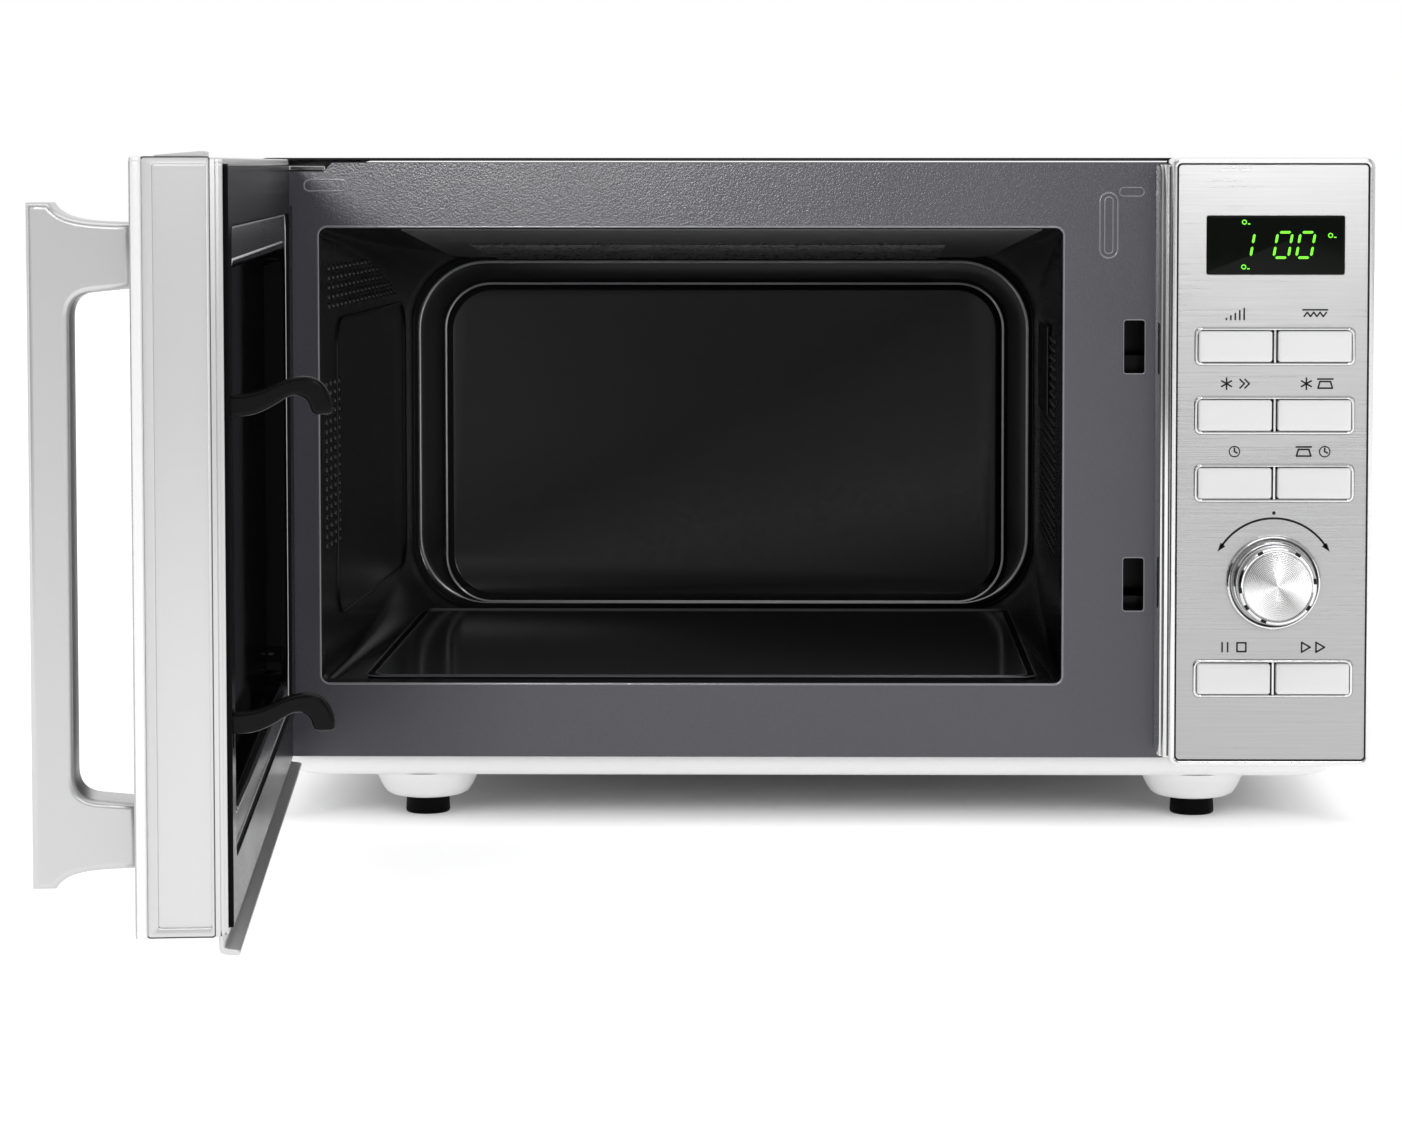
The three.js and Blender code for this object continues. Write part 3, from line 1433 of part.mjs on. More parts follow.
// One hook's side view, from its root on the latch bar: a rising neck and a head whose beak points down.
function hookOutline(base) {
  const y = coverInner;
  const hook = new THREE.Shape();
  hook.moveTo(bar.y1 - 1, base + 4);
  hook.lineTo(y + 4, base + 3.8);
  hook.bezierCurveTo(y + 12, base + 4.5, y + 17, base + 10.5, y + 27, base + 10.5);
  hook.quadraticCurveTo(y + 33, base + 10, y + HOOK_REACH, base + 0.2);
  hook.quadraticCurveTo(y + HOOK_REACH, base - BEAK_DROP, y + 31, base - BEAK_DROP);
  hook.bezierCurveTo(y + 25, base - 2, y + 26, base + 6, y + 20, base + 3.8);
  hook.bezierCurveTo(y + 15, base + 1, y + 12, base - 3.8, y + 6, base - 3.8);
  hook.lineTo(bar.y1 - 1, base - 3.8);
  return hook;
}

function latchBar() {
  return shaped(block(bar.x0, bar.x1, bar.y0, bar.y1, bar.z0, bar.z1), {
    add: hookBase.map((z) => across(hookOutline(z), hookX - HOOK_THICK / 2, hookX + HOOK_THICK / 2)),
  });
}
part(door, "latch_bar", latchBar(), blackPlastic);

// The coil under the latch bar that holds it up against its shelf.
function latchSpring() {
  const coils = 6;
  const wire = 0.6;
  const radius = 2.3;
  const z1 = bar.z0 - GAP;
  const z0 = bar.z0 - SPRING_LENGTH;
  class Helix extends THREE.Curve {
    getPoint(t, target = new THREE.Vector3()) {
      const a = t * coils * Math.PI * 2;
      return target.set(
        hookX + radius * Math.cos(a),
        (bar.y0 + bar.y1) / 2 + radius * Math.sin(a),
        z0 + wire + (z1 - z0 - 2 * wire) * t,
      );
    }
  }
  const wireSection = new THREE.Shape().absarc(0, 0, wire, 0, Math.PI * 2, false);
  return new THREE.ExtrudeGeometry(wireSection, {
    steps: coils * 9,
    curveSegments: 3,
    extrudePath: new Helix(),
  });
}
part(door, "latch_spring", latchSpring(), steel);

// ---------------------------------------------------------------- the door stands open, and the origin

door.position.set(hingeX, hingeY, 0);
door.rotation.z = -THREE.MathUtils.degToRad(DOOR_OPEN_DEG);
for (const mesh of door.children) mesh.position.set(-hingeX, -hingeY, 0);

oven.updateMatrixWorld(true);
const footprint = new THREE.Box3().setFromObject(oven, true);
oven.position.set(
  -(footprint.min.x + footprint.max.x) / 2,
  -(footprint.min.y + footprint.max.y) / 2,
  0,
);

export default oven;
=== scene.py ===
# %% [markdown]
# A flatbed microwave oven with its door standing open.
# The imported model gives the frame: where every piece is, and what moves. This script makes the
# fine surfaces and finishes on top of it. Lengths are written in millimetres in the oven's own
# plan (X from the middle of the cabinet, Y from the front plate's face, Z from the worktop) and
# turned into the frame's metres when a piece is placed.

# %% load the frame
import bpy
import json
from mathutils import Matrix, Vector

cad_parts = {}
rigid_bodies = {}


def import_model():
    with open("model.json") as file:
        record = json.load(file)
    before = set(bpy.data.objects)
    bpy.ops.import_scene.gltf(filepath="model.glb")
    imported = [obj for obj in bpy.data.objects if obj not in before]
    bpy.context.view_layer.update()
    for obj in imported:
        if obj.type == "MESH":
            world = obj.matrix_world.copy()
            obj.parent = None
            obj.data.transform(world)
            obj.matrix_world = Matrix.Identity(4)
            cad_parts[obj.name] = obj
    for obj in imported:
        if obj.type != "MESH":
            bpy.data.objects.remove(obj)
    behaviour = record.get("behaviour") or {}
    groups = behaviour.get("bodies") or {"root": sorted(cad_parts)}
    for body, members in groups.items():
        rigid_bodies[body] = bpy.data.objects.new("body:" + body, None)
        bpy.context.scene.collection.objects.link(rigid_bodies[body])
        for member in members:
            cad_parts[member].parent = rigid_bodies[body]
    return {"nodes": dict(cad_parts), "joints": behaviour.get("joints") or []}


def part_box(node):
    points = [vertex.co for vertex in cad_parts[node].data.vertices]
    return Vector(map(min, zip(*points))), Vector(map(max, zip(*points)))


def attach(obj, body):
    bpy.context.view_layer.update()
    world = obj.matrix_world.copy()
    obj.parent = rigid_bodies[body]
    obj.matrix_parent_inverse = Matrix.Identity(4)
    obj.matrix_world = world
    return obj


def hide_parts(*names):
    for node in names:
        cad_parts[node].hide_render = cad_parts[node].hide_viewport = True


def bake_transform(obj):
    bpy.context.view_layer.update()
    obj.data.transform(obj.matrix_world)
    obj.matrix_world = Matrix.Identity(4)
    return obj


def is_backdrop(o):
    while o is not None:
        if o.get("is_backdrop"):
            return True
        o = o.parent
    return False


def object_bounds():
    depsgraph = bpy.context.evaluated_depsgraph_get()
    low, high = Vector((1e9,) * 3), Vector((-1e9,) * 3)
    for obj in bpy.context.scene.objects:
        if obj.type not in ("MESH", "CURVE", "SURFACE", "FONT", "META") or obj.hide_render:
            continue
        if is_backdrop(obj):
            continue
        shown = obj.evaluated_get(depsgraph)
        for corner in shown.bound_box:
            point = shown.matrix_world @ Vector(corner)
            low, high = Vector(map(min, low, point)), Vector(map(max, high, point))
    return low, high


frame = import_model()
cad_box = [list(v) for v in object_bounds()]

import json
import math
import bmesh
import bpy
from mathutils import Matrix, Vector

MM = 0.001
NODES = frame["nodes"]
print("nodes in the frame:", len(NODES))

# %% [markdown]
# Pieces are drawn in one of two places. Cabinet pieces only shift from the plan to the frame.
# Door pieces are drawn shut, and then turn about the hinge pins by the angle the door stands at.

# %% the two places that pieces are drawn in
case_lo, case_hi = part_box("outer_case")
plate_lo, plate_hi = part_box("front_plate")
hinge = next(j for j in frame["joints"] if j["name"] == "door_hinge")
OPEN_ANGLE = math.radians(-hinge["range_deg"][0])
CABINET = Matrix.Translation(((case_lo[0] + case_hi[0]) / 2, plate_lo[1], 0)) @ Matrix.Scale(MM, 4)
PIN = Vector((hinge["pos_m"][0], hinge["pos_m"][1], 0))
DOOR = Matrix.Translation(PIN) @ Matrix.Rotation(-OPEN_ANGLE, 4, "Z") @ Matrix.Translation(-PIN) @ CABINET


def plan_box(node, place=CABINET):
    """A node's corners in the oven's plan, in millimetres, with the door shut."""
    back = place.inverted()
    points = [back @ v.co for v in NODES[node].data.vertices]
    lo = [min(p[i] for p in points) for i in range(3)]
    hi = [max(p[i] for p in points) for i in range(3)]
    return lo[0], hi[0], lo[1], hi[1], lo[2], hi[2]


LEFT, RIGHT, _, BACK, CASE_Z0, TOP = plan_box("outer_case")
PLATE_X0, PLATE_X1, _, PLATE_T, PLATE_Z0, PLATE_Z1 = plan_box("front_plate")
print("cabinet", round(RIGHT - LEFT), "x", round(TOP), "mm")

# %% [markdown]
# A few shapes come back again and again on a pressed and moulded appliance: a rectangle with
# round corners, a sheet cut from such outlines, a moulding whose section changes from ring to
# ring, and a turned piece. Each gets one helper. A two-dimensional curve fills itself, keeps its
# holes and rounds all its edges at once, so sheets are made as curves and turned into meshes.


# %% outlines
def round_rect(u0, u1, v0, v1, r, steps=8):
    """A rectangle whose corners are arcs of radius r."""
    points = []
    for cu, cv, start in ((u1 - r, v0 + r, -90), (u1 - r, v1 - r, 0), (u0 + r, v1 - r, 90),
                          (u0 + r, v0 + r, 180)):
        for i in range(steps + 1):
            a = math.radians(start + 90 * i / steps)
            points.append((cu + r * math.cos(a), cv + r * math.sin(a)))
    return points


def circle(cu, cv, r, steps=32):
    """A circle of radius r as a run of points."""
    return [(cu + r * math.cos(2 * math.pi * i / steps), cv + r * math.sin(2 * math.pi * i / steps))
            for i in range(steps)]


def inset(box, d):
    """The box with every side moved in by d."""
    return box[0] + d, box[1] - d, box[2] + d, box[3] - d


print("points in a round rectangle:", len(round_rect(0, 2, 0, 1, 0.2)), "and in a circle:",
      len(circle(0, 0, 1)))

# %% [markdown] A finished piece is a plain mesh whose place is in its points.

# %% from a mesh to a placed piece
UPRIGHT = Matrix(((1, 0, 0, 0), (0, 0, -1, 0), (0, 1, 0, 0), (0, 0, 0, 1)))  # drawn in X and Z
ACROSS = Matrix(((0, 0, 1, 0), (1, 0, 0, 0), (0, 1, 0, 0), (0, 0, 0, 1)))  # drawn in Y and Z
LEVEL = Matrix.Identity(4)  # drawn in X and Y
SMOOTH_ANGLE = math.radians(35)
made = []


def keep(name, mesh, material, place=CABINET, body="cabinet", slot=None, replaces=(), smooth=SMOOTH_ANGLE):
    """Places a mesh drawn in the plan and says what it rides on and stands for; given two bodies, it only
    bakes it in place.
    """
    mesh.transform(place)
    mesh.name = name
    mesh.materials.clear()
    for m in material if isinstance(material, (list, tuple)) else [material]:
        mesh.materials.append(m)
    if smooth:
        mesh.polygons.foreach_set("use_smooth", [True] * len(mesh.polygons))
        mesh.set_sharp_from_angle(angle=smooth)
    mesh.update()
    piece = bpy.data.objects.new(name, mesh)
    bpy.context.scene.collection.objects.link(piece)
    if isinstance(body, str):
        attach(piece, body)
    else:
        low_body, high_body, low, high = body
        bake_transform(piece)
    if replaces:
        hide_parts(*replaces)
    made.append(name)
    return piece


def baked(obj):
    """The object's evaluated mesh, with the object itself taken away."""
    bpy.context.view_layer.update()
    mesh = bpy.data.meshes.new_from_object(obj.evaluated_get(bpy.context.evaluated_depsgraph_get()))
    bpy.data.objects.remove(obj)
    return mesh


def holder(mesh):
    """An object to hold a mesh or a curve while modifiers work on it."""
    obj = bpy.data.objects.new("working", mesh)
    bpy.context.scene.collection.objects.link(obj)
    return obj


def joined(*meshes):
    """Several meshes as one, each left where it is."""
    whole = bmesh.new()
    for mesh in meshes:
        whole.from_mesh(mesh)
    out = bpy.data.meshes.new("joined")
    whole.to_mesh(out)
    whole.free()
    return out


print("faces are smooth up to", round(math.degrees(SMOOTH_ANGLE)), "degrees")

# %% [markdown]
# Sheets come first. An outline filled as a curve can have holes, and its bevel rounds every edge,
# so no holes are cut with modifiers.


# %% sheets, from outlines
def sheet(outlines, w0, w1, edge, turn=UPRIGHT, rounding=2):
    """A plate from w0 to w1 in depth with rounded edges. Outlines after the first are holes."""
    data = bpy.data.curves.new("sheet", "CURVE")
    data.dimensions = "2D"
    data.fill_mode = "BOTH"
    data.extrude = max((w1 - w0) / 2 - edge, 0.0)
    data.bevel_depth = edge
    data.bevel_resolution = rounding
    data.offset = -edge
    for outline in outlines:
        spline = data.splines.new("POLY")
        spline.points.add(len(outline) - 1)
        for point, (u, v) in zip(spline.points, outline):
            point.co = (u, v, 0, 1)
        spline.use_cyclic_u = True
    mesh = baked(holder(data))
    mesh.transform(turn @ Matrix.Translation((0, 0, (w0 + w1) / 2)))
    return mesh


print("planes to draw sheets in:", len((UPRIGHT, ACROSS, LEVEL)))

# %% [markdown]
# A moulding is a row of rings with faces between them. Its normals are worked out afresh once the
# points are merged, so that every closed moulding faces outwards.


# %% mouldings, from rings
def loft(rings, cap_first=False, cap_last=False, closed=False):
    """Quads between rings of equal length. The rings are lists of points in the plan."""
    verts = [p for ring in rings for p in ring]
    n = len(rings[0])
    faces = []
    pairs = list(zip(range(len(rings) - 1), range(1, len(rings))))
    if closed:
        pairs.append((len(rings) - 1, 0))
    for a, b in pairs:
        for i in range(n):
            j = (i + 1) % n
            faces.append((a * n + i, a * n + j, b * n + j, b * n + i))
    if cap_first:
        faces.append(tuple(reversed(range(n))))
    if cap_last:
        faces.append(tuple((len(rings) - 1) * n + i for i in range(n)))
    mesh = bpy.data.meshes.new("loft")
    mesh.from_pydata(verts, [], faces)
    return outward(mesh)


MERGE = 1e-5


def outward(mesh):
    """Merges double points and turns all faces outwards."""
    work = bmesh.new()
    work.from_mesh(mesh)
    bmesh.ops.remove_doubles(work, verts=work.verts, dist=MERGE)
    bmesh.ops.recalc_face_normals(work, faces=work.faces)
    work.to_mesh(mesh)
    work.free()
    return mesh


def upright_ring(box, r, y, steps=8):
    """A round rectangle facing the user, at depth y."""
    return [(u, y, v) for u, v in round_rect(*box, r, steps)]


def level_ring(box, r, z, steps=8):
    """A round rectangle lying flat, at height z."""
    return [(u, v, z) for u, v in round_rect(*box, r, steps)]


def turned(profile, centre, axis="Y", steps=64):
    """A profile of (radius, along) points turned about an axis. Along Y it points at the user."""
    rings = []
    for r, w in profile:
        ring = []
        for i in range(steps):
            a = 2 * math.pi * i / steps
            c, s = max(r, 1e-4) * math.cos(a), max(r, 1e-4) * math.sin(a)
            ring.append((centre[0] + c, centre[1] - w, centre[2] + s)
                        if axis == "Y" else (centre[0] + c, centre[1] + s, centre[2] + w))
        rings.append(ring)
    return loft(rings, cap_first=True, cap_last=True)


def thickened(mesh, t):
    """A surface given a wall on the side its faces turn away from."""
    obj = holder(mesh)
    wall = obj.modifiers.new("wall", "SOLIDIFY")
    wall.thickness = t
    wall.offset = -1
    wall.use_even_offset = True
    return baked(obj)


def rod_along(points, radius, steps=4, closed=False):
    """A round rod or line along points, with flat ends unless it closes on itself."""
    data = bpy.data.curves.new("rod", "CURVE")
    data.dimensions = "3D"
    data.bevel_depth = radius
    data.bevel_resolution = steps
    data.use_fill_caps = not closed
    spline = data.splines.new("POLY")
    spline.points.add(len(points) - 1)
    for point, co in zip(spline.points, points):
        point.co = (*co, 1)
    spline.use_cyclic_u = closed
    return outward(baked(holder(data)))


def closed_rod(points, radius):
    """A round line that closes on itself."""
    return rod_along(points, radius, 3, True)


print("lofts, turned pieces and rods merge points nearer than", MERGE, "mm")


# %% [markdown]
# Finishes. Real surfaces are never one flat value: paint has orange peel, steel has a brushed
# grain, plastic has a faint flow, and all of them carry a little dust and rubbing. One builder
# makes them all from noise on the object's own coordinates: a grain that bends the light, a
# slow cloud that shifts the roughness, and a slight change of colour. Values that do not vary
# sit on the shader's sockets.


# %% the finish builder
def finish(name, colour, rough, metal=0.0, grain=(900, 900, 900), bump=0.05, spread=0.08, tint=0.06,
           cloud=18, depth=0.0003, detail=3.0, coat=0.0, coat_rough=0.08, spec=0.5, alpha=1.0, through=0.0,
           glow=None, glow_strength=0.0):
    """A painted, brushed or moulded surface. Sizes of the grain are repeats in a metre along X, Y and Z."""
    material = bpy.data.materials.new(name)
    material.use_nodes = True
    tree = material.node_tree
    shader = tree.nodes["Principled BSDF"]
    place = tree.nodes.new("ShaderNodeTexCoord")
    stretch = tree.nodes.new("ShaderNodeMapping")
    stretch.inputs["Scale"].default_value = grain
    fine = tree.nodes.new("ShaderNodeTexNoise")
    fine.inputs["Scale"].default_value = 1.0
    fine.inputs["Detail"].default_value = detail
    slow = tree.nodes.new("ShaderNodeTexNoise")
    slow.inputs["Scale"].default_value = cloud
    slow.inputs["Detail"].default_value = 4.0
    tree.links.new(place.outputs["Object"], stretch.inputs["Vector"])
    tree.links.new(stretch.outputs["Vector"], fine.inputs["Vector"])
    tree.links.new(place.outputs["Object"], slow.inputs["Vector"])

    both = tree.nodes.new("ShaderNodeMath")
    both.operation = "ADD"
    tree.links.new(fine.outputs["Fac"], both.inputs[0])
    tree.links.new(slow.outputs["Fac"], both.inputs[1])
    ranged = tree.nodes.new("ShaderNodeMapRange")
    ranged.inputs["From Min"].default_value = 0.6
    ranged.inputs["From Max"].default_value = 1.4
    ranged.inputs["To Min"].default_value = max(rough - spread, 0.02)
    ranged.inputs["To Max"].default_value = min(rough + spread, 1.0)
    tree.links.new(both.outputs[0], ranged.inputs["Value"])
    tree.links.new(ranged.outputs["Result"], shader.inputs["Roughness"])

    mix = tree.nodes.new("ShaderNodeMix")
    mix.data_type = "RGBA"
    mix.inputs["A"].default_value = (*[c * (1 - tint) for c in colour], 1)
    mix.inputs["B"].default_value = (*[min(c * (1 + tint), 1) for c in colour], 1)
    tree.links.new(fine.outputs["Fac"], mix.inputs["Factor"])
    tree.links.new(mix.outputs["Result"], shader.inputs["Base Color"])

    bumped = tree.nodes.new("ShaderNodeBump")
    bumped.inputs["Strength"].default_value = bump
    bumped.inputs["Distance"].default_value = depth
    tree.links.new(fine.outputs["Fac"], bumped.inputs["Height"])
    tree.links.new(bumped.outputs["Normal"], shader.inputs["Normal"])

    shader.inputs["Metallic"].default_value = metal
    shader.inputs["Specular IOR Level"].default_value = spec
    shader.inputs["Coat Weight"].default_value = coat
    shader.inputs["Coat Roughness"].default_value = coat_rough
    shader.inputs["Alpha"].default_value = alpha
    shader.inputs["Transmission Weight"].default_value = through
    if glow:
        shader.inputs["Emission Color"].default_value = (*glow, 1)
        shader.inputs["Emission Strength"].default_value = glow_strength
    return material


print("a finish has", finish.__code__.co_argcount, "values that can be set")

# %% [markdown]
# Paint and plastic are not metal, so their colour does the work. Brushed steel is metal with its
# noise stretched along one axis, and black glass is kept dark by a very low specular level.

# %% the finishes of this oven
PLATE_PAINT = finish("plate_paint", (0.061, 0.061, 0.071), rough=0.23, grain=(1250, 1250, 1250),
                     bump=0.32, spread=0.04, tint=0.08, cloud=14, spec=0.45)
CAVITY_ENAMEL = finish("cavity_enamel", (0.009, 0.009, 0.0096), rough=0.2, grain=(300, 300, 300),
                       bump=0.10, spread=0.05, tint=0.12, cloud=10, spec=0.15)
GLASS_BLACK = finish("glass_black", (0.036, 0.036, 0.037), rough=0.13, grain=(90, 90, 90), bump=0.02,
                     spread=0.03, tint=0.1, cloud=8, depth=0.0001, spec=0.12)
SEAL_BLACK = finish("seal_black", (0.004, 0.004, 0.004), rough=0.5, grain=(1500, 1500, 1500), bump=0.2,
                    spread=0.1, tint=0.2, spec=0.15)
CASE_PAINT = finish("case_paint", (0.010, 0.010, 0.011), rough=0.42, grain=(1400, 1400, 1400),
                    bump=0.45, spread=0.06, tint=0.12, cloud=12, spec=0.4)
ZINC = finish("zinc_sheet", (0.42, 0.44, 0.45), rough=0.42, metal=0.9, grain=(120, 120, 120), bump=0.08,
              spread=0.12, tint=0.16, cloud=60, depth=0.0002, detail=6)
PAN_PAINT = finish("pan_paint", (0.92, 0.92, 0.92), rough=0.34, metal=0.1, bump=0.03, spread=0.04,
                   tint=0.02, cloud=16, depth=0.0002)
RUBBER = finish("foot_rubber", (0.003, 0.003, 0.003), rough=0.62, grain=(1800, 1800, 1800), bump=0.3,
                spread=0.1, tint=0.2, spec=0.06)
BLACK_PLASTIC = finish("black_plastic", (0.003, 0.003, 0.003), rough=0.2, bump=0.02, spread=0.05,
                       tint=0.2, spec=0.10)
WHITE_PLASTIC = finish("white_plastic", (0.72, 0.70, 0.64), rough=0.45, grain=(1200, 1200, 1200),
                       bump=0.1, tint=0.05)
SILVER = finish("silver_moulding", (0.62, 0.62, 0.62), rough=0.32, metal=0.75, grain=(1200, 1200, 1200),
                bump=0.015, spread=0.03, tint=0.015, cloud=8, depth=0.0001)
# Painted highlight: the door's silver made lighter and less metallic for its rounded outer strip.
STRIP_SILVER = finish("strip_silver", (0.86, 0.86, 0.86), rough=0.30, metal=0.3,
                      grain=(1200, 1200, 1200), bump=0.01, spread=0.03, tint=0.01, cloud=8,
                      depth=0.0001)
SILVER_BRIGHT = finish("silver_bright", (0.74, 0.74, 0.74), rough=0.15, metal=0.95,
                       grain=(1800, 1800, 1800), bump=0.03, spread=0.05, tint=0.03, cloud=25,
                       depth=0.0001)
HANDLE_SILVER = finish("handle_silver", (0.56, 0.56, 0.563), rough=0.30, metal=0.78,
                       grain=(1200, 1200, 1200), bump=0.012, spread=0.02, tint=0.012, cloud=6,
                       depth=0.0001)
BRUSHED = finish("brushed_panel", (0.405, 0.405, 0.405), rough=0.29, metal=0.85, grain=(16, 500, 1100),
                 bump=0.03, spread=0.06, tint=0.14, cloud=9, depth=0.0001, detail=6)
BRUSHED_DOOR = finish("brushed_door_skin", (0.50, 0.50, 0.50), rough=0.30, metal=0.85,
                      grain=(500, 16, 1100), bump=0.03, spread=0.06, tint=0.12, cloud=9, depth=0.0001,
                      detail=6)
BUTTON_SILVER = finish("button_silver", (0.80, 0.80, 0.80), rough=0.45, metal=0.05, grain=(60, 60, 60),
                       bump=0.0, spread=0.02, tint=0.004)
CHROME = finish("chrome_trim", (0.80, 0.80, 0.81), rough=0.07, metal=1.0, grain=(400, 400, 400),
                bump=0.02, spread=0.04, tint=0.03, cloud=40, depth=0.0001)
DISPLAY = finish("display_lens", (0.001, 0.002, 0.001), rough=0.12, grain=(200, 200, 200), bump=0.02,
                 spread=0.03, tint=0.2, spec=0.12)
INK = finish("printed_ink", (0.008, 0.008, 0.008), rough=0.5, grain=(1500, 1500, 1500), bump=0.1,
             spread=0.1, tint=0.2, spec=0.2)
GLOW = finish("green_figures", (0.05, 0.35, 0.02), rough=0.4, bump=0.02, spread=0.05, tint=0.1,
              glow=(0.22, 1.0, 0.02), glow_strength=1.0)
# Painted shade: the dark inside of each hole in the oven's walls.
HOLE_BLACK = finish("hole_shadow", (0.002, 0.002, 0.002), rough=0.9, grain=(800, 800, 800), bump=0.1,
                    spread=0.05, tint=0.2, spec=0.05)
STEEL = finish("plain_steel", (0.48, 0.48, 0.48), rough=0.33, metal=0.95, grain=(300, 300, 1400),
               bump=0.15, spread=0.1, tint=0.1, cloud=30, depth=0.0001)
HEATER = finish("heater_sheath", (0.10, 0.095, 0.09), rough=0.45, metal=0.8, grain=(500, 500, 500),
                bump=0.2, spread=0.12, tint=0.25, cloud=50, depth=0.0002)
MICA = finish("mica_board", (0.035, 0.033, 0.03), rough=0.4, metal=0.1, grain=(150, 150, 150), bump=0.3,
              spread=0.15, tint=0.3, cloud=60, detail=6)
IRON = finish("laminated_iron", (0.10, 0.085, 0.075), rough=0.5, metal=0.5, grain=(60, 60, 1800),
              bump=0.4, spread=0.1, tint=0.25, cloud=30, depth=0.0002)
CIRCUIT = finish("circuit_board", (0.02, 0.13, 0.06), rough=0.4, grain=(700, 700, 700), bump=0.2,
                 spread=0.1, tint=0.2)
DOOR_GLASS = finish("door_glass", (0.0015, 0.0015, 0.0015), rough=0.06, grain=(60, 60, 60), bump=0.01,
                    spread=0.03, tint=0.2, cloud=6, depth=0.0001, spec=0.003)
INNER_PAINT = finish("inner_paint", (0.005, 0.005, 0.0055), rough=0.2, grain=(500, 500, 500), bump=0.04,
                     spread=0.04, tint=0.10, cloud=14, depth=0.0002, spec=0.02)
GLOSS_BLACK = finish("gloss_black", (0.0015, 0.0015, 0.0015), rough=0.08, grain=(200, 200, 200),
                     bump=0.02, spread=0.03, tint=0.2, cloud=20, depth=0.0001, spec=0.02)
INNER_GREY = finish("inner_grey", (0.040, 0.040, 0.043), rough=0.30, grain=(700, 700, 700), bump=0.06,
                    spread=0.05, tint=0.08, cloud=14, depth=0.0002, spec=0.2)
# Painted light: a lighter grey for the ceiling, standing for the floor's light reflected in it.
CEILING_GREY = finish("ceiling_grey", (0.14, 0.14, 0.145), rough=0.34, grain=(500, 500, 500), bump=0.12,
                      spread=0.06, tint=0.12, cloud=14, spec=0.2)
# Painted highlight: the back wall's pressed lines in a much lighter copy of the enamel.
RIDGE = finish("ridge_enamel", (0.50, 0.50, 0.505), rough=0.2, metal=0.3, grain=(300, 300, 300),
               spread=0.04, tint=0.1, cloud=10, depth=0.0002, spec=1.0)
HOLE_RIM = finish("hole_rim", (0.016, 0.016, 0.017), rough=0.2, grain=(300, 300, 300), spread=0.04,
                  tint=0.2, cloud=60, depth=0.0002)
# Painted highlight: light lines at the bends of the door's screen frame.
WINDOW_LINE = finish("window_line", (0.55, 0.55, 0.55), rough=0.3, metal=0.3, grain=(300, 300, 300),
                     spread=0.04, tint=0.1, cloud=10, depth=0.0002)
# Painted highlight: the plate's paint made lighter, for the rolled edge, the pressings and the floor plate's
# edge lines.
PLATE_EDGE = finish("plate_edge", (0.17, 0.17, 0.185), rough=0.18, metal=0.1, grain=(600, 600, 600),
                    bump=0.1, spread=0.05, tint=0.1, spec=0.9)
# Painted shade in grooves and steps, and dark joint lines: the door's free edge and the panel's side.
SEAM_GREY = finish("seam_grey", (0.10, 0.10, 0.10), rough=0.5, grain=(600, 600, 600), bump=0.1,
                   spread=0.05, tint=0.1, spec=0.2)
GUARD_STEEL = finish("guard_steel", (0.16, 0.16, 0.16), rough=0.30, metal=0.75, grain=(500, 500, 500),
                     bump=0.3, spread=0.12, tint=0.3, cloud=60)
print("finishes:", len(bpy.data.materials))

# %% [markdown]
# The camera stands in front of the oven, a little to the right of its middle and level with its
# top. The lens is long, so the box keeps square. The rest of the view is a pale floor and soft
# light from wide panels, which is what makes long clean highlights on painted and brushed steel.

# %% camera
EYE = Vector((4.9, -1701, 307.7))
LENS = 94.8
TURN_LEFT, TILT_DOWN = math.radians(0.542), math.radians(3.097)
SHIFT = (-0.060, -0.140)
camera_data = bpy.data.cameras.new("front_camera")
camera_data.sensor_width = 36
camera_data.lens = LENS
camera_data.shift_x, camera_data.shift_y = SHIFT
camera_data.clip_start, camera_data.clip_end = 0.05, 30
camera = bpy.data.objects.new("front_camera", camera_data)
bpy.context.scene.collection.objects.link(camera)
camera.location = CABINET @ EYE
camera.rotation_euler = (math.pi / 2 - TILT_DOWN, 0, TURN_LEFT)
bpy.context.scene.camera = camera
bpy.context.scene.view_settings.view_transform = "Standard"
print("camera:", -EYE.y, "mm in front of the plate, lens", LENS)

# %% [markdown]
# The floor glows evenly, except where the cabinet stands: there the glow fades out, and that dark
# patch is a painted shadow, so that only a close shadow is left. The glow is worked out from the
# distance past a rectangle under the cabinet.

# %% the pale floor
FLOOR = finish("pale_floor", (0.86, 0.86, 0.86), rough=0.6, grain=(30, 30, 30), bump=0.02, spread=0.05,
               tint=0.01, spec=0.2, glow=(1, 1, 1))
GLOW_FAR, GLOW_UNDER = 0.60, 0.0
SHADE_MIDDLE, SHADE_HALF = (0.010, 0.228, 0), (0.235, 0.170, 0)
SHADE_START, SHADE_END = -0.03, 0.06
table = FLOOR.node_tree
table_shader = table.nodes["Principled BSDF"]
here = table.nodes.new("ShaderNodeTexCoord")
flat_out = table.nodes.new("ShaderNodeVectorMath")
flat_out.operation = "SUBTRACT"
flat_out.inputs[1].default_value = SHADE_MIDDLE
folded = table.nodes.new("ShaderNodeVectorMath")
folded.operation = "ABSOLUTE"
past = table.nodes.new("ShaderNodeVectorMath")
past.operation = "SUBTRACT"
past.inputs[1].default_value = SHADE_HALF
parts = table.nodes.new("ShaderNodeSeparateXYZ")
farthest = table.nodes.new("ShaderNodeMath")
farthest.operation = "MAXIMUM"
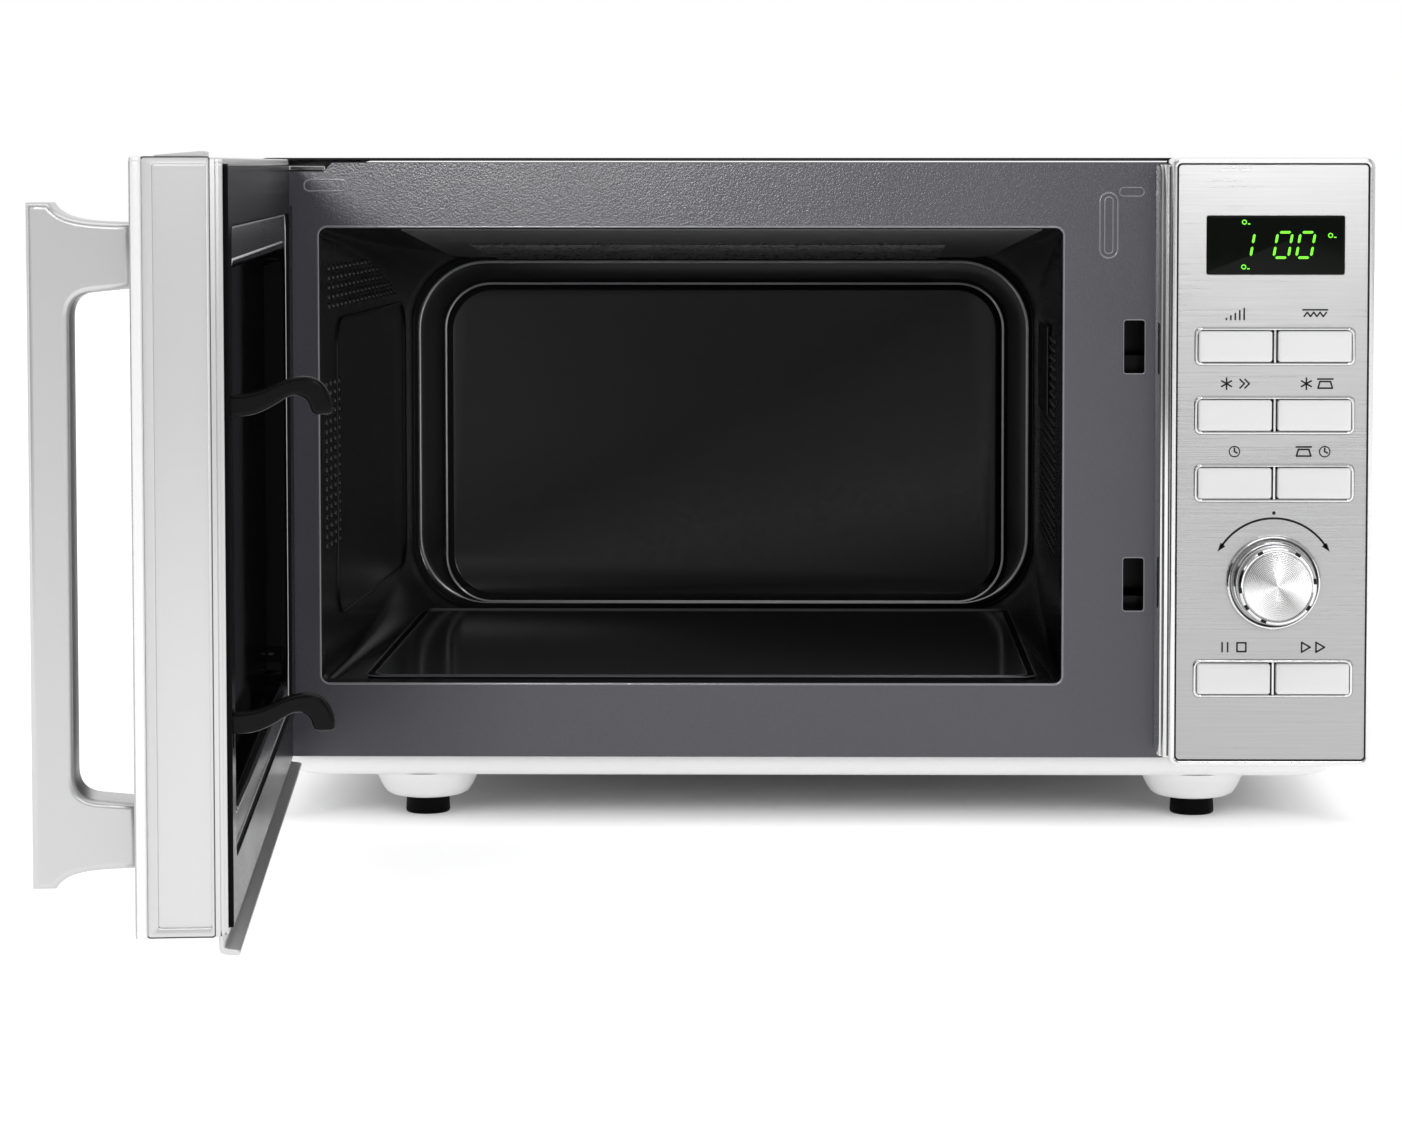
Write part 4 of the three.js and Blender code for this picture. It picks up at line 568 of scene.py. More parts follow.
# Painted shadow: the glow falls from GLOW_FAR to GLOW_UNDER over the rectangle under the cabinet.
fade = table.nodes.new("ShaderNodeMapRange")
fade.interpolation_type = "SMOOTHSTEP"
fade.inputs["From Min"].default_value = SHADE_START
fade.inputs["From Max"].default_value = SHADE_END
fade.inputs["To Min"].default_value = GLOW_UNDER
fade.inputs["To Max"].default_value = GLOW_FAR
table.links.new(here.outputs["Object"], flat_out.inputs[0])
table.links.new(flat_out.outputs[0], folded.inputs[0])
table.links.new(folded.outputs[0], past.inputs[0])
table.links.new(past.outputs[0], parts.inputs[0])
table.links.new(parts.outputs["X"], farthest.inputs[0])
table.links.new(parts.outputs["Y"], farthest.inputs[1])
table.links.new(farthest.outputs[0], fade.inputs["Value"])
table.links.new(fade.outputs["Result"], table_shader.inputs["Emission Strength"])
floor_mesh = bpy.data.meshes.new("floor")
REACH = 9.0
floor_corners = [(-REACH, -REACH, 0), (REACH, -REACH, 0), (REACH, REACH, 0), (-REACH, REACH, 0)]
floor_mesh.from_pydata(floor_corners, [], [(0, 1, 2, 3)])
floor = bpy.data.objects.new("floor", floor_mesh)
floor_mesh.materials.append(FLOOR)
bpy.context.scene.collection.objects.link(floor)
floor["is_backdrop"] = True
print("floor:", 2 * REACH, "m wide, shade", 2 * SHADE_HALF[0], "x", 2 * SHADE_HALF[1], "m")

# %% [markdown]
# The studio is white behind the oven and dim behind the camera, so that dark finishes stay dark.

# %% the studio
BEHIND_CAMERA, BEHIND_OVEN = 0.40, 1.0
world = bpy.data.worlds.new("studio")
world.use_nodes = True
sky = world.node_tree
direction = sky.nodes.new("ShaderNodeTexCoord")
axes = sky.nodes.new("ShaderNodeSeparateXYZ")
turn_to_back = sky.nodes.new("ShaderNodeMapRange")
turn_to_back.interpolation_type = "SMOOTHSTEP"
turn_to_back.inputs["From Min"].default_value = -0.15
turn_to_back.inputs["From Max"].default_value = 0.45
turn_to_back.inputs["To Min"].default_value = BEHIND_CAMERA
turn_to_back.inputs["To Max"].default_value = BEHIND_OVEN
sky.links.new(direction.outputs["Generated"], axes.inputs["Vector"])
sky.links.new(axes.outputs["Y"], turn_to_back.inputs["Value"])
sky.links.new(turn_to_back.outputs["Result"], sky.nodes["Background"].inputs["Color"])
sky.nodes["Background"].inputs["Strength"].default_value = 1.0
bpy.context.scene.world = world
print("studio:", BEHIND_OVEN, "behind the oven,", BEHIND_CAMERA, "behind the camera")

# %% [markdown]
# Wide panels light everything softly. Dark paint beside bright metal needs more light of its own,
# so five lamps are linked to chosen pieces, which are added as they are made.


# %% the lamps
def softbox(name, spot, aim, size, power):
    """A rectangular lamp at spot, turned to aim, with its size in metres and its power in watts."""
    data = bpy.data.lights.new(name, "AREA")
    data.shape = "RECTANGLE"
    data.size, data.size_y = size
    data.energy = power
    lamp = bpy.data.objects.new(name, data)
    bpy.context.scene.collection.objects.link(lamp)
    lamp.location = spot
    lamp.rotation_euler = (Vector(aim) - Vector(spot)).to_track_quat("-Z", "Y").to_euler()
    return lamp


def lit_only(lamp):
    """Gives a lamp its own collection of pieces to light; everything else ignores it."""
    chosen = bpy.data.collections.new(lamp.name + "_pieces")
    lamp.light_linking.receiver_collection = chosen
    return chosen.objects


softbox("over_softbox", (0.0, -0.6, 2.1), (0.0, 0.1, 0.1), (2.2, 1.6), 13)
softbox("upper_right_softbox", (0.47, -2.3, 1.0), (0.2, 0, 0.25), (0.45, 0.35), 4)
softbox("left_softbox", (-1.9, -1.2, 0.7), (-0.2, -0.2, 0.15), (0.5, 1.3), 4)
softbox("right_softbox", (1.8, -1.3, 0.9), (0.1, 0, 0.15), (0.5, 1.3), 4)
# A small lamp lights the painted front alone: light linking keeps it off the bright metal.
plate_lamp = softbox("plate_softbox", (-0.37, -2.3, 0.62), (-0.15, 0, 0.3), (0.30, 0.16), 17)
lit_by_plate_lamp = lit_only(plate_lamp)
# More of the kind light the door's silver edge and handle, the steel face, the oven and its left wall.
lit_by_door_lamp = lit_only(softbox("door_softbox", (-0.42, -2.6, 1.1), (-0.22, -0.3, 0.3), (0.6, 0.4), 5))
lit_by_face_lamp = lit_only(softbox("face_softbox", (0.42, -1.75, 0.62), (0.2, 0, 0.28), (0.3, 0.3), 5.5))
lit_by_wall_lamp = lit_only(softbox("wall_softbox", (0.9, -1.0, 0.35), (-0.2, 0.15, 0.12), (0.3, 0.3), 9))
lit_by_oven_lamp = lit_only(softbox("oven_softbox", (0.0, -1.3, 0.09), (-0.05, 0.33, 0.15), (1.4, 0.3), 1.3))
print("lamps:", len(bpy.data.lights))

# %% [markdown]
# The front plate is one pressed sheet. Its opening has a rolled edge, its upper left corner steps
# down for the hinge, and small pressings stiffen it. The rolled edge and the pressings are drawn
# lighter than the plate: a painted highlight along them. The sheet is cut from outlines, and the
# pressings are raised rings laid into its face.

# %% front plate
CORNER = 4
RECEIVER = plan_box("latch_receiver")
OPEN_X0, OPEN_X1 = LEFT + 28.5, RECEIVER[0] + 6 - 27.8
OPEN_Z0, OPEN_Z1 = PLATE_Z0 + 34.3, PLATE_Z1 - 30
OPENING = (OPEN_X0, OPEN_X1, OPEN_Z0, OPEN_Z1)
OPEN_R = 3.8
SLOT_W, SLOT_H = 10, 25
slot_x = (RECEIVER[0] + RECEIVER[1]) / 2
slot_zs = [sum(plan_box(n)[4:6]) / 2 for n in ("door_switch_upper", "door_switch_lower")]


def latch_slot(z):
    """The outline of the latch slot at height z."""
    return round_rect(slot_x - SLOT_W / 2, slot_x + SLOT_W / 2, z - SLOT_H / 2, z + SLOT_H / 2, 1.4, 4)


slots = [latch_slot(z) for z in slot_zs]
NOTCH = 4.0
NOTCH_X = LEFT + 31
plate_outline = round_rect(PLATE_X0, PLATE_X1, PLATE_Z0, PLATE_Z1, CORNER, 5)
step_points = [(NOTCH_X + NOTCH, PLATE_Z1), (NOTCH_X, PLATE_Z1 - NOTCH), (PLATE_X0, PLATE_Z1 - NOTCH)]
upper_left = [p for p in plate_outline if p[0] < 0 and p[1] > TOP / 2]
first = plate_outline.index(upper_left[0])
plate_outline = plate_outline[:first] + step_points + [p for p in plate_outline[first:]
    if p not in upper_left]
bay_left = plan_box("control_frame")[0] + 12
bay = round_rect(bay_left, PLATE_X1 - 9, PLATE_Z0 + 18, PLATE_Z1 - 16, 3, 4)
plate_mesh = sheet([plate_outline, round_rect(*OPENING, OPEN_R, 8), *slots, bay], -PLATE_T, 0, 0.45)
print("front plate", round(PLATE_X1 - PLATE_X0), "x", round(PLATE_Z1 - PLATE_Z0), "mm, slots:", len(slots))


# %% [markdown]
# Pressings catch light along their edges. A thin half-round bead along each outline gives that edge
# real geometry, and its lighter colour adds a painted highlight; a bright leaf of the upper hinge
# shows in the plate's stepped corner.

# %% its pressings and the hinge leaf
def bead(outline, radius, y, sunk=0.6):
    """A closed half-round bead laid on an upright face."""
    centre = [(u, y + radius * sunk, v) for u, v in outline]
    return rod_along(centre + [centre[0], centre[1]], radius)


rolled_edge = bead(round_rect(*inset(OPENING, -0.3), OPEN_R + 0.3, 10), 0.6, 0)
pill_left = bead(round_rect(LEFT + 22, LEFT + 42, PLATE_Z1 - 13.4, PLATE_Z1 - 8, 2.6, 6), 0.5, 0)
pill_u = slot_x - 12
pill_tall = bead(round_rect(pill_u - 4.1, pill_u + 4.1, OPEN_Z1 - 14, OPEN_Z1 + 16, 4, 8), 0.55, 0)
pill_inner = bead(round_rect(pill_u - 1.9, pill_u + 1.9, OPEN_Z1 - 12, OPEN_Z1 + 14, 1.8, 6), 0.45, 0)
pill_end = bead(round_rect(pill_u + 4.9, pill_u + 16.2, OPEN_Z1 + 14.4, OPEN_Z1 + 18.4, 1.9, 6), 0.3, 0)
plate = keep("front_plate_fine", plate_mesh, PLATE_PAINT, slot="plate_enamel", replaces=["front_plate"])
lit_by_plate_lamp.link(plate)
leaf = sheet([round_rect(LEFT + 14, LEFT + 32, PLATE_Z1 - 3.6, PLATE_Z1 - 1.8, 0.7, 4)], 0.0, 0.9, 0.2,
             UPRIGHT, 2)
keep("hinge_leaf", leaf, SILVER_BRIGHT, slot="steel_parts")
lit_by_plate_lamp.link(keep("opening_rolled_edge", rolled_edge, PLATE_EDGE, slot="plate_enamel"))
borders = [bead(latch_slot(z), 0.32, 0) for z in slot_zs]
pressings = joined(pill_left, pill_tall, pill_inner, pill_end, *borders)
lit_by_plate_lamp.link(keep("plate_pressings", pressings, PLATE_EDGE, slot="plate_enamel"))
print("opening", round(OPEN_X1 - OPEN_X0), "x", round(OPEN_Z1 - OPEN_Z0), "mm")

# %% [markdown]
# The oven itself is a deep-drawn box. Read from the front it is a run of rings: the mouth, a
# short collar, walls that taper a little towards the back, a wide round corner into the back
# wall, and the pressed step in the middle of the back. Lofting those rings gives every
# highlight line its place, and the surface then gets its wall.

# %% oven cavity
_, CAV_X1, _, CAV_BACK, _, _ = plan_box("oven_cavity")
CAV_X0, CAV_X1 = OPEN_X0 + 5, CAV_X1 - 1
REAR_Y = CAV_BACK - 7
TRAY = plan_box("ceramic_plate")
FLOOR_Z = TRAY[4] - 0.3
CEIL_REAR = OPEN_Z1 - 18
MOUTH_STEPS = 12
BACK_RIGHT, BACK_DOWN = 3, 3
REAR = (CAV_X0 + BACK_RIGHT, CAV_X1 + BACK_RIGHT, FLOOR_Z, CEIL_REAR - BACK_DOWN)
REAR_CORNER = 38


def blended(a, b, t):
    """The values between a and b, at the share t of the way."""
    return tuple(p + (q - p) * t for p, q in zip(a, b))


COLLAR_END = 13.5
BEND = 4.5
WALL_RUN = REAR_Y - BEND - COLLAR_END
OVEN_FRONT = (OPEN_X0 - 1.5, OPEN_X1 + 1.5, FLOOR_Z, OPEN_Z1 - 0.6)
rings = [
    upright_ring(OPENING, OPEN_R, PLATE_T + 0.2, MOUTH_STEPS),
    upright_ring(inset(OPENING, 0.2), OPEN_R, 6, MOUTH_STEPS),
    upright_ring(inset(OPENING, 0.4), OPEN_R, 12, MOUTH_STEPS),
    upright_ring(OVEN_FRONT, OPEN_R, COLLAR_END, MOUTH_STEPS),
]
WALL_STATIONS = (0.02, 0.2, 0.4, 0.6, 0.75, 0.87, 0.95)
for t in WALL_STATIONS:
    corner = OPEN_R + (REAR_CORNER - OPEN_R) * t ** 2.2
    rings.append(upright_ring(blended(OVEN_FRONT, REAR, t), corner, COLLAR_END + WALL_RUN * t, MOUTH_STEPS))
BEND_STEPS = 6
for k in range(BEND_STEPS + 1):
    a = math.radians(90 * k / BEND_STEPS)
    depth = REAR_Y - BEND + BEND * math.sin(a)
    rings.append(upright_ring(inset(REAR, BEND * (1 - math.cos(a))), REAR_CORNER, depth, MOUTH_STEPS))
DISH = (REAR[0] + 17.6, REAR[1] - 16.4, FLOOR_Z + 4, REAR[3] - 15)
DISH_SECTION = ((-2.6, 0, 27.6), (-1.6, -0.25, 26.6), (-0.7, -0.75, 25.8), (0, -0.9, 25.2), (0.7, -0.6, 24.8),
                (1.3, 0.4, 24.4), (2.3, 3.2, 23.6), (3.1, 4.5, 23), (4.2, 5.0, 22))
for d, dy, r in DISH_SECTION:
    rings.append(upright_ring(inset(DISH, d), r, REAR_Y + dy, MOUTH_STEPS))
cavity_mesh = loft(rings, cap_last=True)
print("oven rings:", len(rings))


# %% [markdown]
# The surface gets its wall on the outer side, so that the oven keeps its size inside. Two fine
# ridges follow the pressed lines in the back; they are drawn far lighter than the enamel, a painted
# highlight along each line.

# %% the oven's wall
def facing_in(mesh):
    """The loft faces outwards, so it is turned to face into the oven before it gets its wall."""
    work = bmesh.new()
    work.from_mesh(mesh)
    floor_faces = [f for f in work.faces if f.calc_center_median().z < FLOOR_Z + 2]
    if sum(f.normal.z for f in floor_faces) < 0:
        bmesh.ops.reverse_faces(work, faces=work.faces)
    work.to_mesh(mesh)
    work.free()
    return mesh


SHEET_WALL = 0.9
oven = keep("oven_cavity_fine", thickened(facing_in(cavity_mesh), SHEET_WALL), CAVITY_ENAMEL,
            slot="cavity_enamel",
            replaces=["oven_cavity", "cavity_collar", "cavity_floor", "cavity_back"])
lit_by_oven_lamp.link(oven)
lit_by_wall_lamp.link(oven)


# Painted highlight along the back's pressed lines.
outer_ridge = closed_rod(upright_ring(inset(REAR, 3.4), REAR_CORNER - 1, REAR_Y - 0.2, 16), 0.8)
inner_ridge = closed_rod(upright_ring(inset(DISH, 0.2), 25, REAR_Y - 0.3, 16), 0.75)
ridges = keep("oven_back_ridges", joined(outer_ridge, inner_ridge), RIDGE, slot="cavity_enamel")
lit_by_oven_lamp.link(ridges)
lit_by_plate_lamp.link(ridges)
print("oven depth", round(REAR_Y), "mm")

# %% [markdown]
# The oven's floor is a flat black ceramic plate in a soft seal. The plate and the seal are sheets,
# and two fine light lines stand for the places where seal, plate and enamel meet: a painted
# highlight on those edges.

# %% floor plate with its seal
tray_box = TRAY[:4]
GLASS_TOP = TRAY[5]
SEAM_W = 3.2
glass_mesh = sheet([round_rect(*inset(tray_box, SEAM_W), 7, 6)], TRAY[4], GLASS_TOP, 0.7, LEVEL, 3)
seal_mesh = sheet([round_rect(*tray_box, 9, 6), round_rect(*inset(tray_box, SEAM_W - 0.4), 7, 6)],
                  TRAY[4], GLASS_TOP + 0.35, 0.5, LEVEL, 2)
lit_by_oven_lamp.link(keep("floor_plate_fine", glass_mesh, GLASS_BLACK, slot="glass_ceramic",
                           replaces=["ceramic_plate"]))
keep("floor_plate_seal", seal_mesh, SEAL_BLACK, slot="glass_ceramic")
seal_lines = [closed_rod([(u, v, GLASS_TOP + 0.2) for u, v in round_rect(*inset(tray_box, d), 8, 6)],
                         0.4) for d in (-0.6, SEAM_W + 0.2)]
lit_by_oven_lamp.link(keep("floor_plate_lines", joined(*seal_lines), PLATE_EDGE, slot="glass_ceramic"))
print("floor plate", round(TRAY[1] - TRAY[0]), "x", round(TRAY[3] - TRAY[2]), "mm")

# %% [markdown]
# Holes, guard bars and cooling slots repeat in rows. Geometry Nodes set them out: two lines of
# points, one along the row and one across, each carry copies of the shape.


# %% a Geometry Nodes tree that repeats one shape on a grid
def grid_tree(name, material):
    """Repeats the input mesh on a grid of columns by rows, and gives the lot one finish."""
    tree = bpy.data.node_groups.new(name, "GeometryNodeTree")
    face = tree.interface
    face.new_socket("Geometry", in_out="INPUT", socket_type="NodeSocketGeometry")
    for label in ("Columns", "Rows"):
        face.new_socket(label, in_out="INPUT", socket_type="NodeSocketInt")
    for label in ("Column pitch", "Row pitch", "Start"):
        face.new_socket(label, in_out="INPUT", socket_type="NodeSocketVector")
    face.new_socket("Geometry", in_out="OUTPUT", socket_type="NodeSocketGeometry")
    n, link = tree.nodes, tree.links
    enter, leave = n.new("NodeGroupInput"), n.new("NodeGroupOutput")
    row = n.new("GeometryNodeMeshLine")
    row.mode = "OFFSET"
    link.new(enter.outputs["Columns"], row.inputs["Count"])
    link.new(enter.outputs["Column pitch"], row.inputs["Offset"])
    link.new(enter.outputs["Start"], row.inputs["Start Location"])
    rank = n.new("GeometryNodeMeshLine")
    rank.mode = "OFFSET"
    link.new(enter.outputs["Rows"], rank.inputs["Count"])
    link.new(enter.outputs["Row pitch"], rank.inputs["Offset"])
    first = n.new("GeometryNodeInstanceOnPoints")
    link.new(row.outputs["Mesh"], first.inputs["Points"])
    link.new(enter.outputs["Geometry"], first.inputs["Instance"])
    second = n.new("GeometryNodeInstanceOnPoints")
    link.new(rank.outputs["Mesh"], second.inputs["Points"])
    link.new(first.outputs["Instances"], second.inputs["Instance"])
    real = n.new("GeometryNodeRealizeInstances")
    dress = n.new("GeometryNodeSetMaterial")
    dress.inputs["Material"].default_value = material
    link.new(second.outputs["Instances"], real.inputs["Geometry"])
    link.new(real.outputs["Geometry"], dress.inputs["Geometry"])
    link.new(dress.outputs["Geometry"], leave.inputs[0])
    return tree


def on_grid(mesh, tree, columns, rows, column_pitch, row_pitch, start):
    """The mesh repeated by the tree, as a plain mesh. Inputs are set by the sockets' identifiers."""
    obj = holder(mesh)
    repeat = obj.modifiers.new("repeat", "NODES")
    repeat.node_group = tree
    values = {"Columns": columns, "Rows": rows, "Start": start}
    values |= {"Column pitch": column_pitch, "Row pitch": row_pitch}
    for item in tree.interface.items_tree:
        if item.in_out == "INPUT" and item.name in values:
            repeat[item.identifier] = values[item.name]
    return baked(obj)


HOLES = grid_tree("dark_holes", HOLE_BLACK)
RIMS = grid_tree("hole_rims", HOLE_RIM)
BARS = grid_tree("guard_bars", GUARD_STEEL)
print("node trees:", len(bpy.data.node_groups))

# %% [markdown]
# The oven's walls are pierced where air and light pass, and a fine guard under the ceiling
# keeps food off the grill's element. Each hole is a small pressed ring round a dark disc, and the
# disc is painted shade for the dark depth of the hole. The same tree sets out rings, discs and guard bars.

# %% pierced walls
PITCH_Y, PITCH_Z = 12.5, 4.5


def oven_at(y):
    """The oven's left, right, bottom and top at depth y."""
    return blended(OVEN_FRONT, REAR, min(max((y - COLLAR_END) / WALL_RUN, 0), 1))


def wall_x(y, right=False):
    """Where the side wall is at depth y."""
    return oven_at(y)[1 if right else 0]


def small_rings(section, out, steps=10):
    """Rings about X for a hole: each has a radius and a height off the wall."""
    turns = [2 * math.pi * i / steps for i in range(steps)]
    return [[(out * w, r * math.cos(a), r * math.sin(a)) for a in turns] for r, w in section]


def pierced(tag, right, y0, columns, z0, rows):
    """A field of holes on a side wall: one mesh of rings, one of dark discs."""
    lean = (wall_x(y0 + PITCH_Y, right) - wall_x(y0, right))
    out = -1 if right else 1
    x = wall_x(y0, right) + out * 0.05
    rim_rings = small_rings(((1.9, -0.1), (1.7, 0.4), (1.3, 0.35)), out)
    # The dark disc is painted shade in the hole.
    disc = small_rings(((1.3, -0.2), (1.28, 0.16), (0.1, 0.14)), out)
    step, up = (lean, PITCH_Y, 0), (0, 0, PITCH_Z)
    rims = on_grid(loft(rim_rings), RIMS, columns, rows, step, up, (x, y0, z0))
    discs = on_grid(loft(disc, cap_last=True), HOLES, columns, rows, step, up, (x, y0, z0))
    lit_by_plate_lamp.link(keep(tag + "_rims", rims, HOLE_RIM, slot="cavity_enamel"))
    keep(tag + "_holes", discs, HOLE_BLACK, slot="cavity_enamel")
    return columns * rows


holes = pierced("left_upper", False, 42, 20, CEIL_REAR - 20, 5)
holes += pierced("left_middle", False, 20, 5, 128, 18)
holes += pierced("right_wall", True, 102, 12, 118, 24)
print("holes in the walls:", holes)
PRESSED = ((60, 286), (92, CEIL_REAR - 27))


def on_left_wall(outline, lift=0.3):
    """The outline (y, z) laid on the left wall, which leans in towards the back."""
    return [(wall_x(y) + lift, y, z) for y, z in outline]


panel_line = on_left_wall(round_rect(*PRESSED[0], *PRESSED[1], 16, 8))
keep("left_wall_pressing", closed_rod(panel_line, 0.9), CAVITY_ENAMEL, slot="cavity_enamel")

# %% [markdown]
# The grill is a rod loop under the ceiling. A lighter grey sheet just under the ceiling round it is
# painted light: the floor's light reflected in the ceiling. A guard of thin crossing bars, repeated
# by the same tree, keeps food off the grill.


# %% grill guard and its element
def ceiling_z(y):
    """How high the ceiling is at depth y."""
    return oven_at(y)[3]


GUARD = plan_box("grill_guard")
# Painted light: a thin sheet lighter than the enamel, laid just under the ceiling.
LINER_T = 0.5
near_end, far_end = (16, (-190, 108)), (322, (-196, 96))
liner = []
for (y, across), drop in ((near_end, 0), (far_end, 0), (far_end, LINER_T), (near_end, LINER_T)):
    liner += [(u, y, ceiling_z(y) - 0.3 - drop) for u in across]
liner_faces = [(0, 1, 3, 2), (2, 3, 5, 4), (4, 5, 7, 6), (6, 7, 1, 0), (0, 2, 4, 6), (1, 7, 5, 3)]
liner_mesh = bpy.data.meshes.new("liner")
liner_mesh.from_pydata(liner, [], liner_faces)
lit_by_oven_lamp.link(keep("ceiling_liner", outward(liner_mesh), CEILING_GREY, slot="cavity_enamel"))
GUARD_Y0, GUARD_Y1 = 150, 306
fall = (ceiling_z(GUARD_Y1) - ceiling_z(GUARD_Y0)) / (GUARD_Y1 - GUARD_Y0)
BAR_PITCH, BAR_R = 5.2, 0.75
rows_deep = 1 + int((GUARD_Y1 - GUARD_Y0) / BAR_PITCH)
columns_wide = 1 + int((GUARD[1] - GUARD[0]) / BAR_PITCH)
guard_ends = [(0, y, ceiling_z(y)) for y in (GUARD_Y0, GUARD_Y1)]
lengthwise = rod_along([(GUARD[0], 0, 0), (GUARD[1], 0, 0)], BAR_R, steps=1)
crosswise = rod_along(guard_ends, BAR_R, steps=1)
bars = on_grid(lengthwise, BARS, 1, rows_deep, (0, 0, 0), (0, BAR_PITCH, BAR_PITCH * fall),
               (0, GUARD_Y0, ceiling_z(GUARD_Y0) - 1.7))
cross = on_grid(crosswise, BARS, columns_wide, 1, (BAR_PITCH, 0, 0), (0, 0, 0), (GUARD[0], 0, -1.0))
keep("grill_guard_fine", joined(bars, cross), GUARD_STEEL, slot="cavity_enamel", replaces=["grill_guard"])
ELEMENT = plan_box("grill_heater")
ROD_R = 3.2
loop = [(u, v, OPEN_Z1 - 2.5) for u, v in round_rect(*inset(ELEMENT[:4], ROD_R), 22, 8)]
keep("grill_heater_fine", closed_rod(loop, ROD_R), HEATER, slot="heater_sheath", replaces=["grill_heater"])
print("guard bars:", rows_deep + columns_wide)

# %% [markdown]
# The case is one bent sheet. Its section is a single curve carried from front to back, with both
# lips rolled, and its cooling slots repeat, so the grid tree sets out the tools that cut them.

# %% outer case
R = 5
profile = [(LEFT, CASE_Z0)]
for i in range(9):
    a = math.radians(180 - 90 * i / 8)
    profile.append((LEFT + R + R * math.cos(a), TOP - R + R * math.sin(a)))
for i in range(9):
    a = math.radians(90 - 90 * i / 8)
    profile.append((RIGHT - R + R * math.cos(a), TOP - R + R * math.sin(a)))
profile.append((RIGHT, CASE_Z0))
SHEET = 1.0
rounded_lip = ((0.0, 0.35), (0.15, 0.1), (0.5, 0.0))
stations = list(rounded_lip) + [(BACK - y, d) for y, d in reversed(rounded_lip)]


ROOF_FROM = TOP / 2 + 100


def shrunk(points, d):
    """The case's section moved in by d at its sides and roof."""
    return [(x + (d if x < 0 else -d), z - (d if z > ROOF_FROM else 0)) for x, z in points]


verts, faces = [], []
m = len(profile)
for y, d in stations:
    verts += [(x, y, z) for x, z in shrunk(profile, d)]
for y, d in reversed(stations):
    verts += [(x, y, z) for x, z in shrunk(profile, SHEET - d)]
count = 2 * len(stations)
for a in range(count):
    b = (a + 1) % count
    for i in range(m - 1):
        faces.append((a * m + i, a * m + i + 1, b * m + i + 1, b * m + i))
for i in (0, m - 1):
    faces.append(tuple(a * m + i for a in range(count)))
case_mesh = bpy.data.meshes.new("case")
case_mesh.from_pydata(verts, [], faces)
outward(case_mesh)
print("case sheet", SHEET, "mm thick, corner radius", R)

# %% [markdown]
# The slots are cut with one tool that holds them all, because one exact cut is quick and clean.

# %% cooling slots in its sides
cutter_slot = sheet([round_rect(-17, 17, -1.5, 1.5, 1.45, 5)], -4, 4, 0.2, ACROSS, 1)
CASE_SLOTS, SLOT_PITCH = 9, 9
slot_top = TOP - 60
cutters = on_grid(cutter_slot, HOLES, 2, CASE_SLOTS, (RIGHT - LEFT, 0, 0), (0, 0, SLOT_PITCH),
                  (LEFT, BACK - 62, slot_top - (CASE_SLOTS - 1) * SLOT_PITCH + 1.5))


def cut_by(mesh, cutter):
    """The mesh with the cutter's shape taken out of it."""
    obj, tool = holder(mesh), holder(cutter)
    cutting = obj.modifiers.new("cut", "BOOLEAN")
    cutting.operation = "DIFFERENCE"
    cutting.solver = "EXACT"
    cutting.object = tool
    out = baked(obj)
    bpy.data.objects.remove(tool)
    return out


keep("outer_case_fine", cut_by(case_mesh, cutters), CASE_PAINT, slot="case_black", replaces=["outer_case"])
print("cooling slots:", 2 * CASE_SLOTS)

# %% [markdown]
# The pan under the oven is drawn in one piece, with round corners and a swelling over each foot.

# %% base pan and feet
PAN = plan_box("base_pan")
FLOOR_PAN = 21.0
pan_box = PAN[:4]
pan_rings = [level_ring(inset(pan_box, d), r, z, 8) for d, r, z in (
    (0.5, 14, PLATE_Z0 - 0.4), (0.0, 14, PLATE_Z0 - 1.6), (0.4, 14, PLATE_Z0 - 4), (2.2, 14, PLATE_Z0 - 7),
    (5.2, 14, FLOOR_PAN + 2.4), (8.5, 14, FLOOR_PAN + 0.7), (13, 14, FLOOR_PAN))]
pan_parts = [loft(pan_rings, cap_last=True)]
feet = ["foot_front_left", "foot_front_right", "foot_rear_left", "foot_rear_right"]
for foot in feet:
    x0, x1, y0, y1, z0, z1 = plan_box(foot)
    cx, cy = (x0 + x1) / 2, (y0 + y1) / 2
    boss = [(26.5, FLOOR_PAN + 0.6), (25.2, FLOOR_PAN - 0.4), (23.8, FLOOR_PAN - 3), (21.6, FLOOR_PAN - 7.5),
            (19.6, FLOOR_PAN - 10.6), (17.4, z1 + 0.7), (14.5, z1 + 0.05), (2, z1 + 0.05)]
    pan_parts.append(turned([(r, z) for r, z in boss], (cx, cy, 0), "Z", 48))
    rubber = [(1.5, z0 + 0.6), (6.4, z0 + 0.6), (6.8, z0), (9.6, z0), (10.2, z0 + 0.4), (10.45, z0 + 1.2),
              (10.3, z0 + 4), (10.1, z1 - 0.9), (9.6, z1 - 0.1), (2, z1)]
    keep(foot + "_fine", turned(rubber, (cx, cy, 0), "Z", 48), RUBBER, slot="foot_rubber", replaces=[foot])
keep("base_pan_fine", joined(*pan_parts), PAN_PAINT, slot="pan_grey", replaces=["base_pan"])
print("feet:", len(feet))

# %% [markdown]
# The control panel is a silver moulding round a brushed steel face. Its rim catches the light
# as two bright lines with a dark one between, so it is lofted ring by ring.

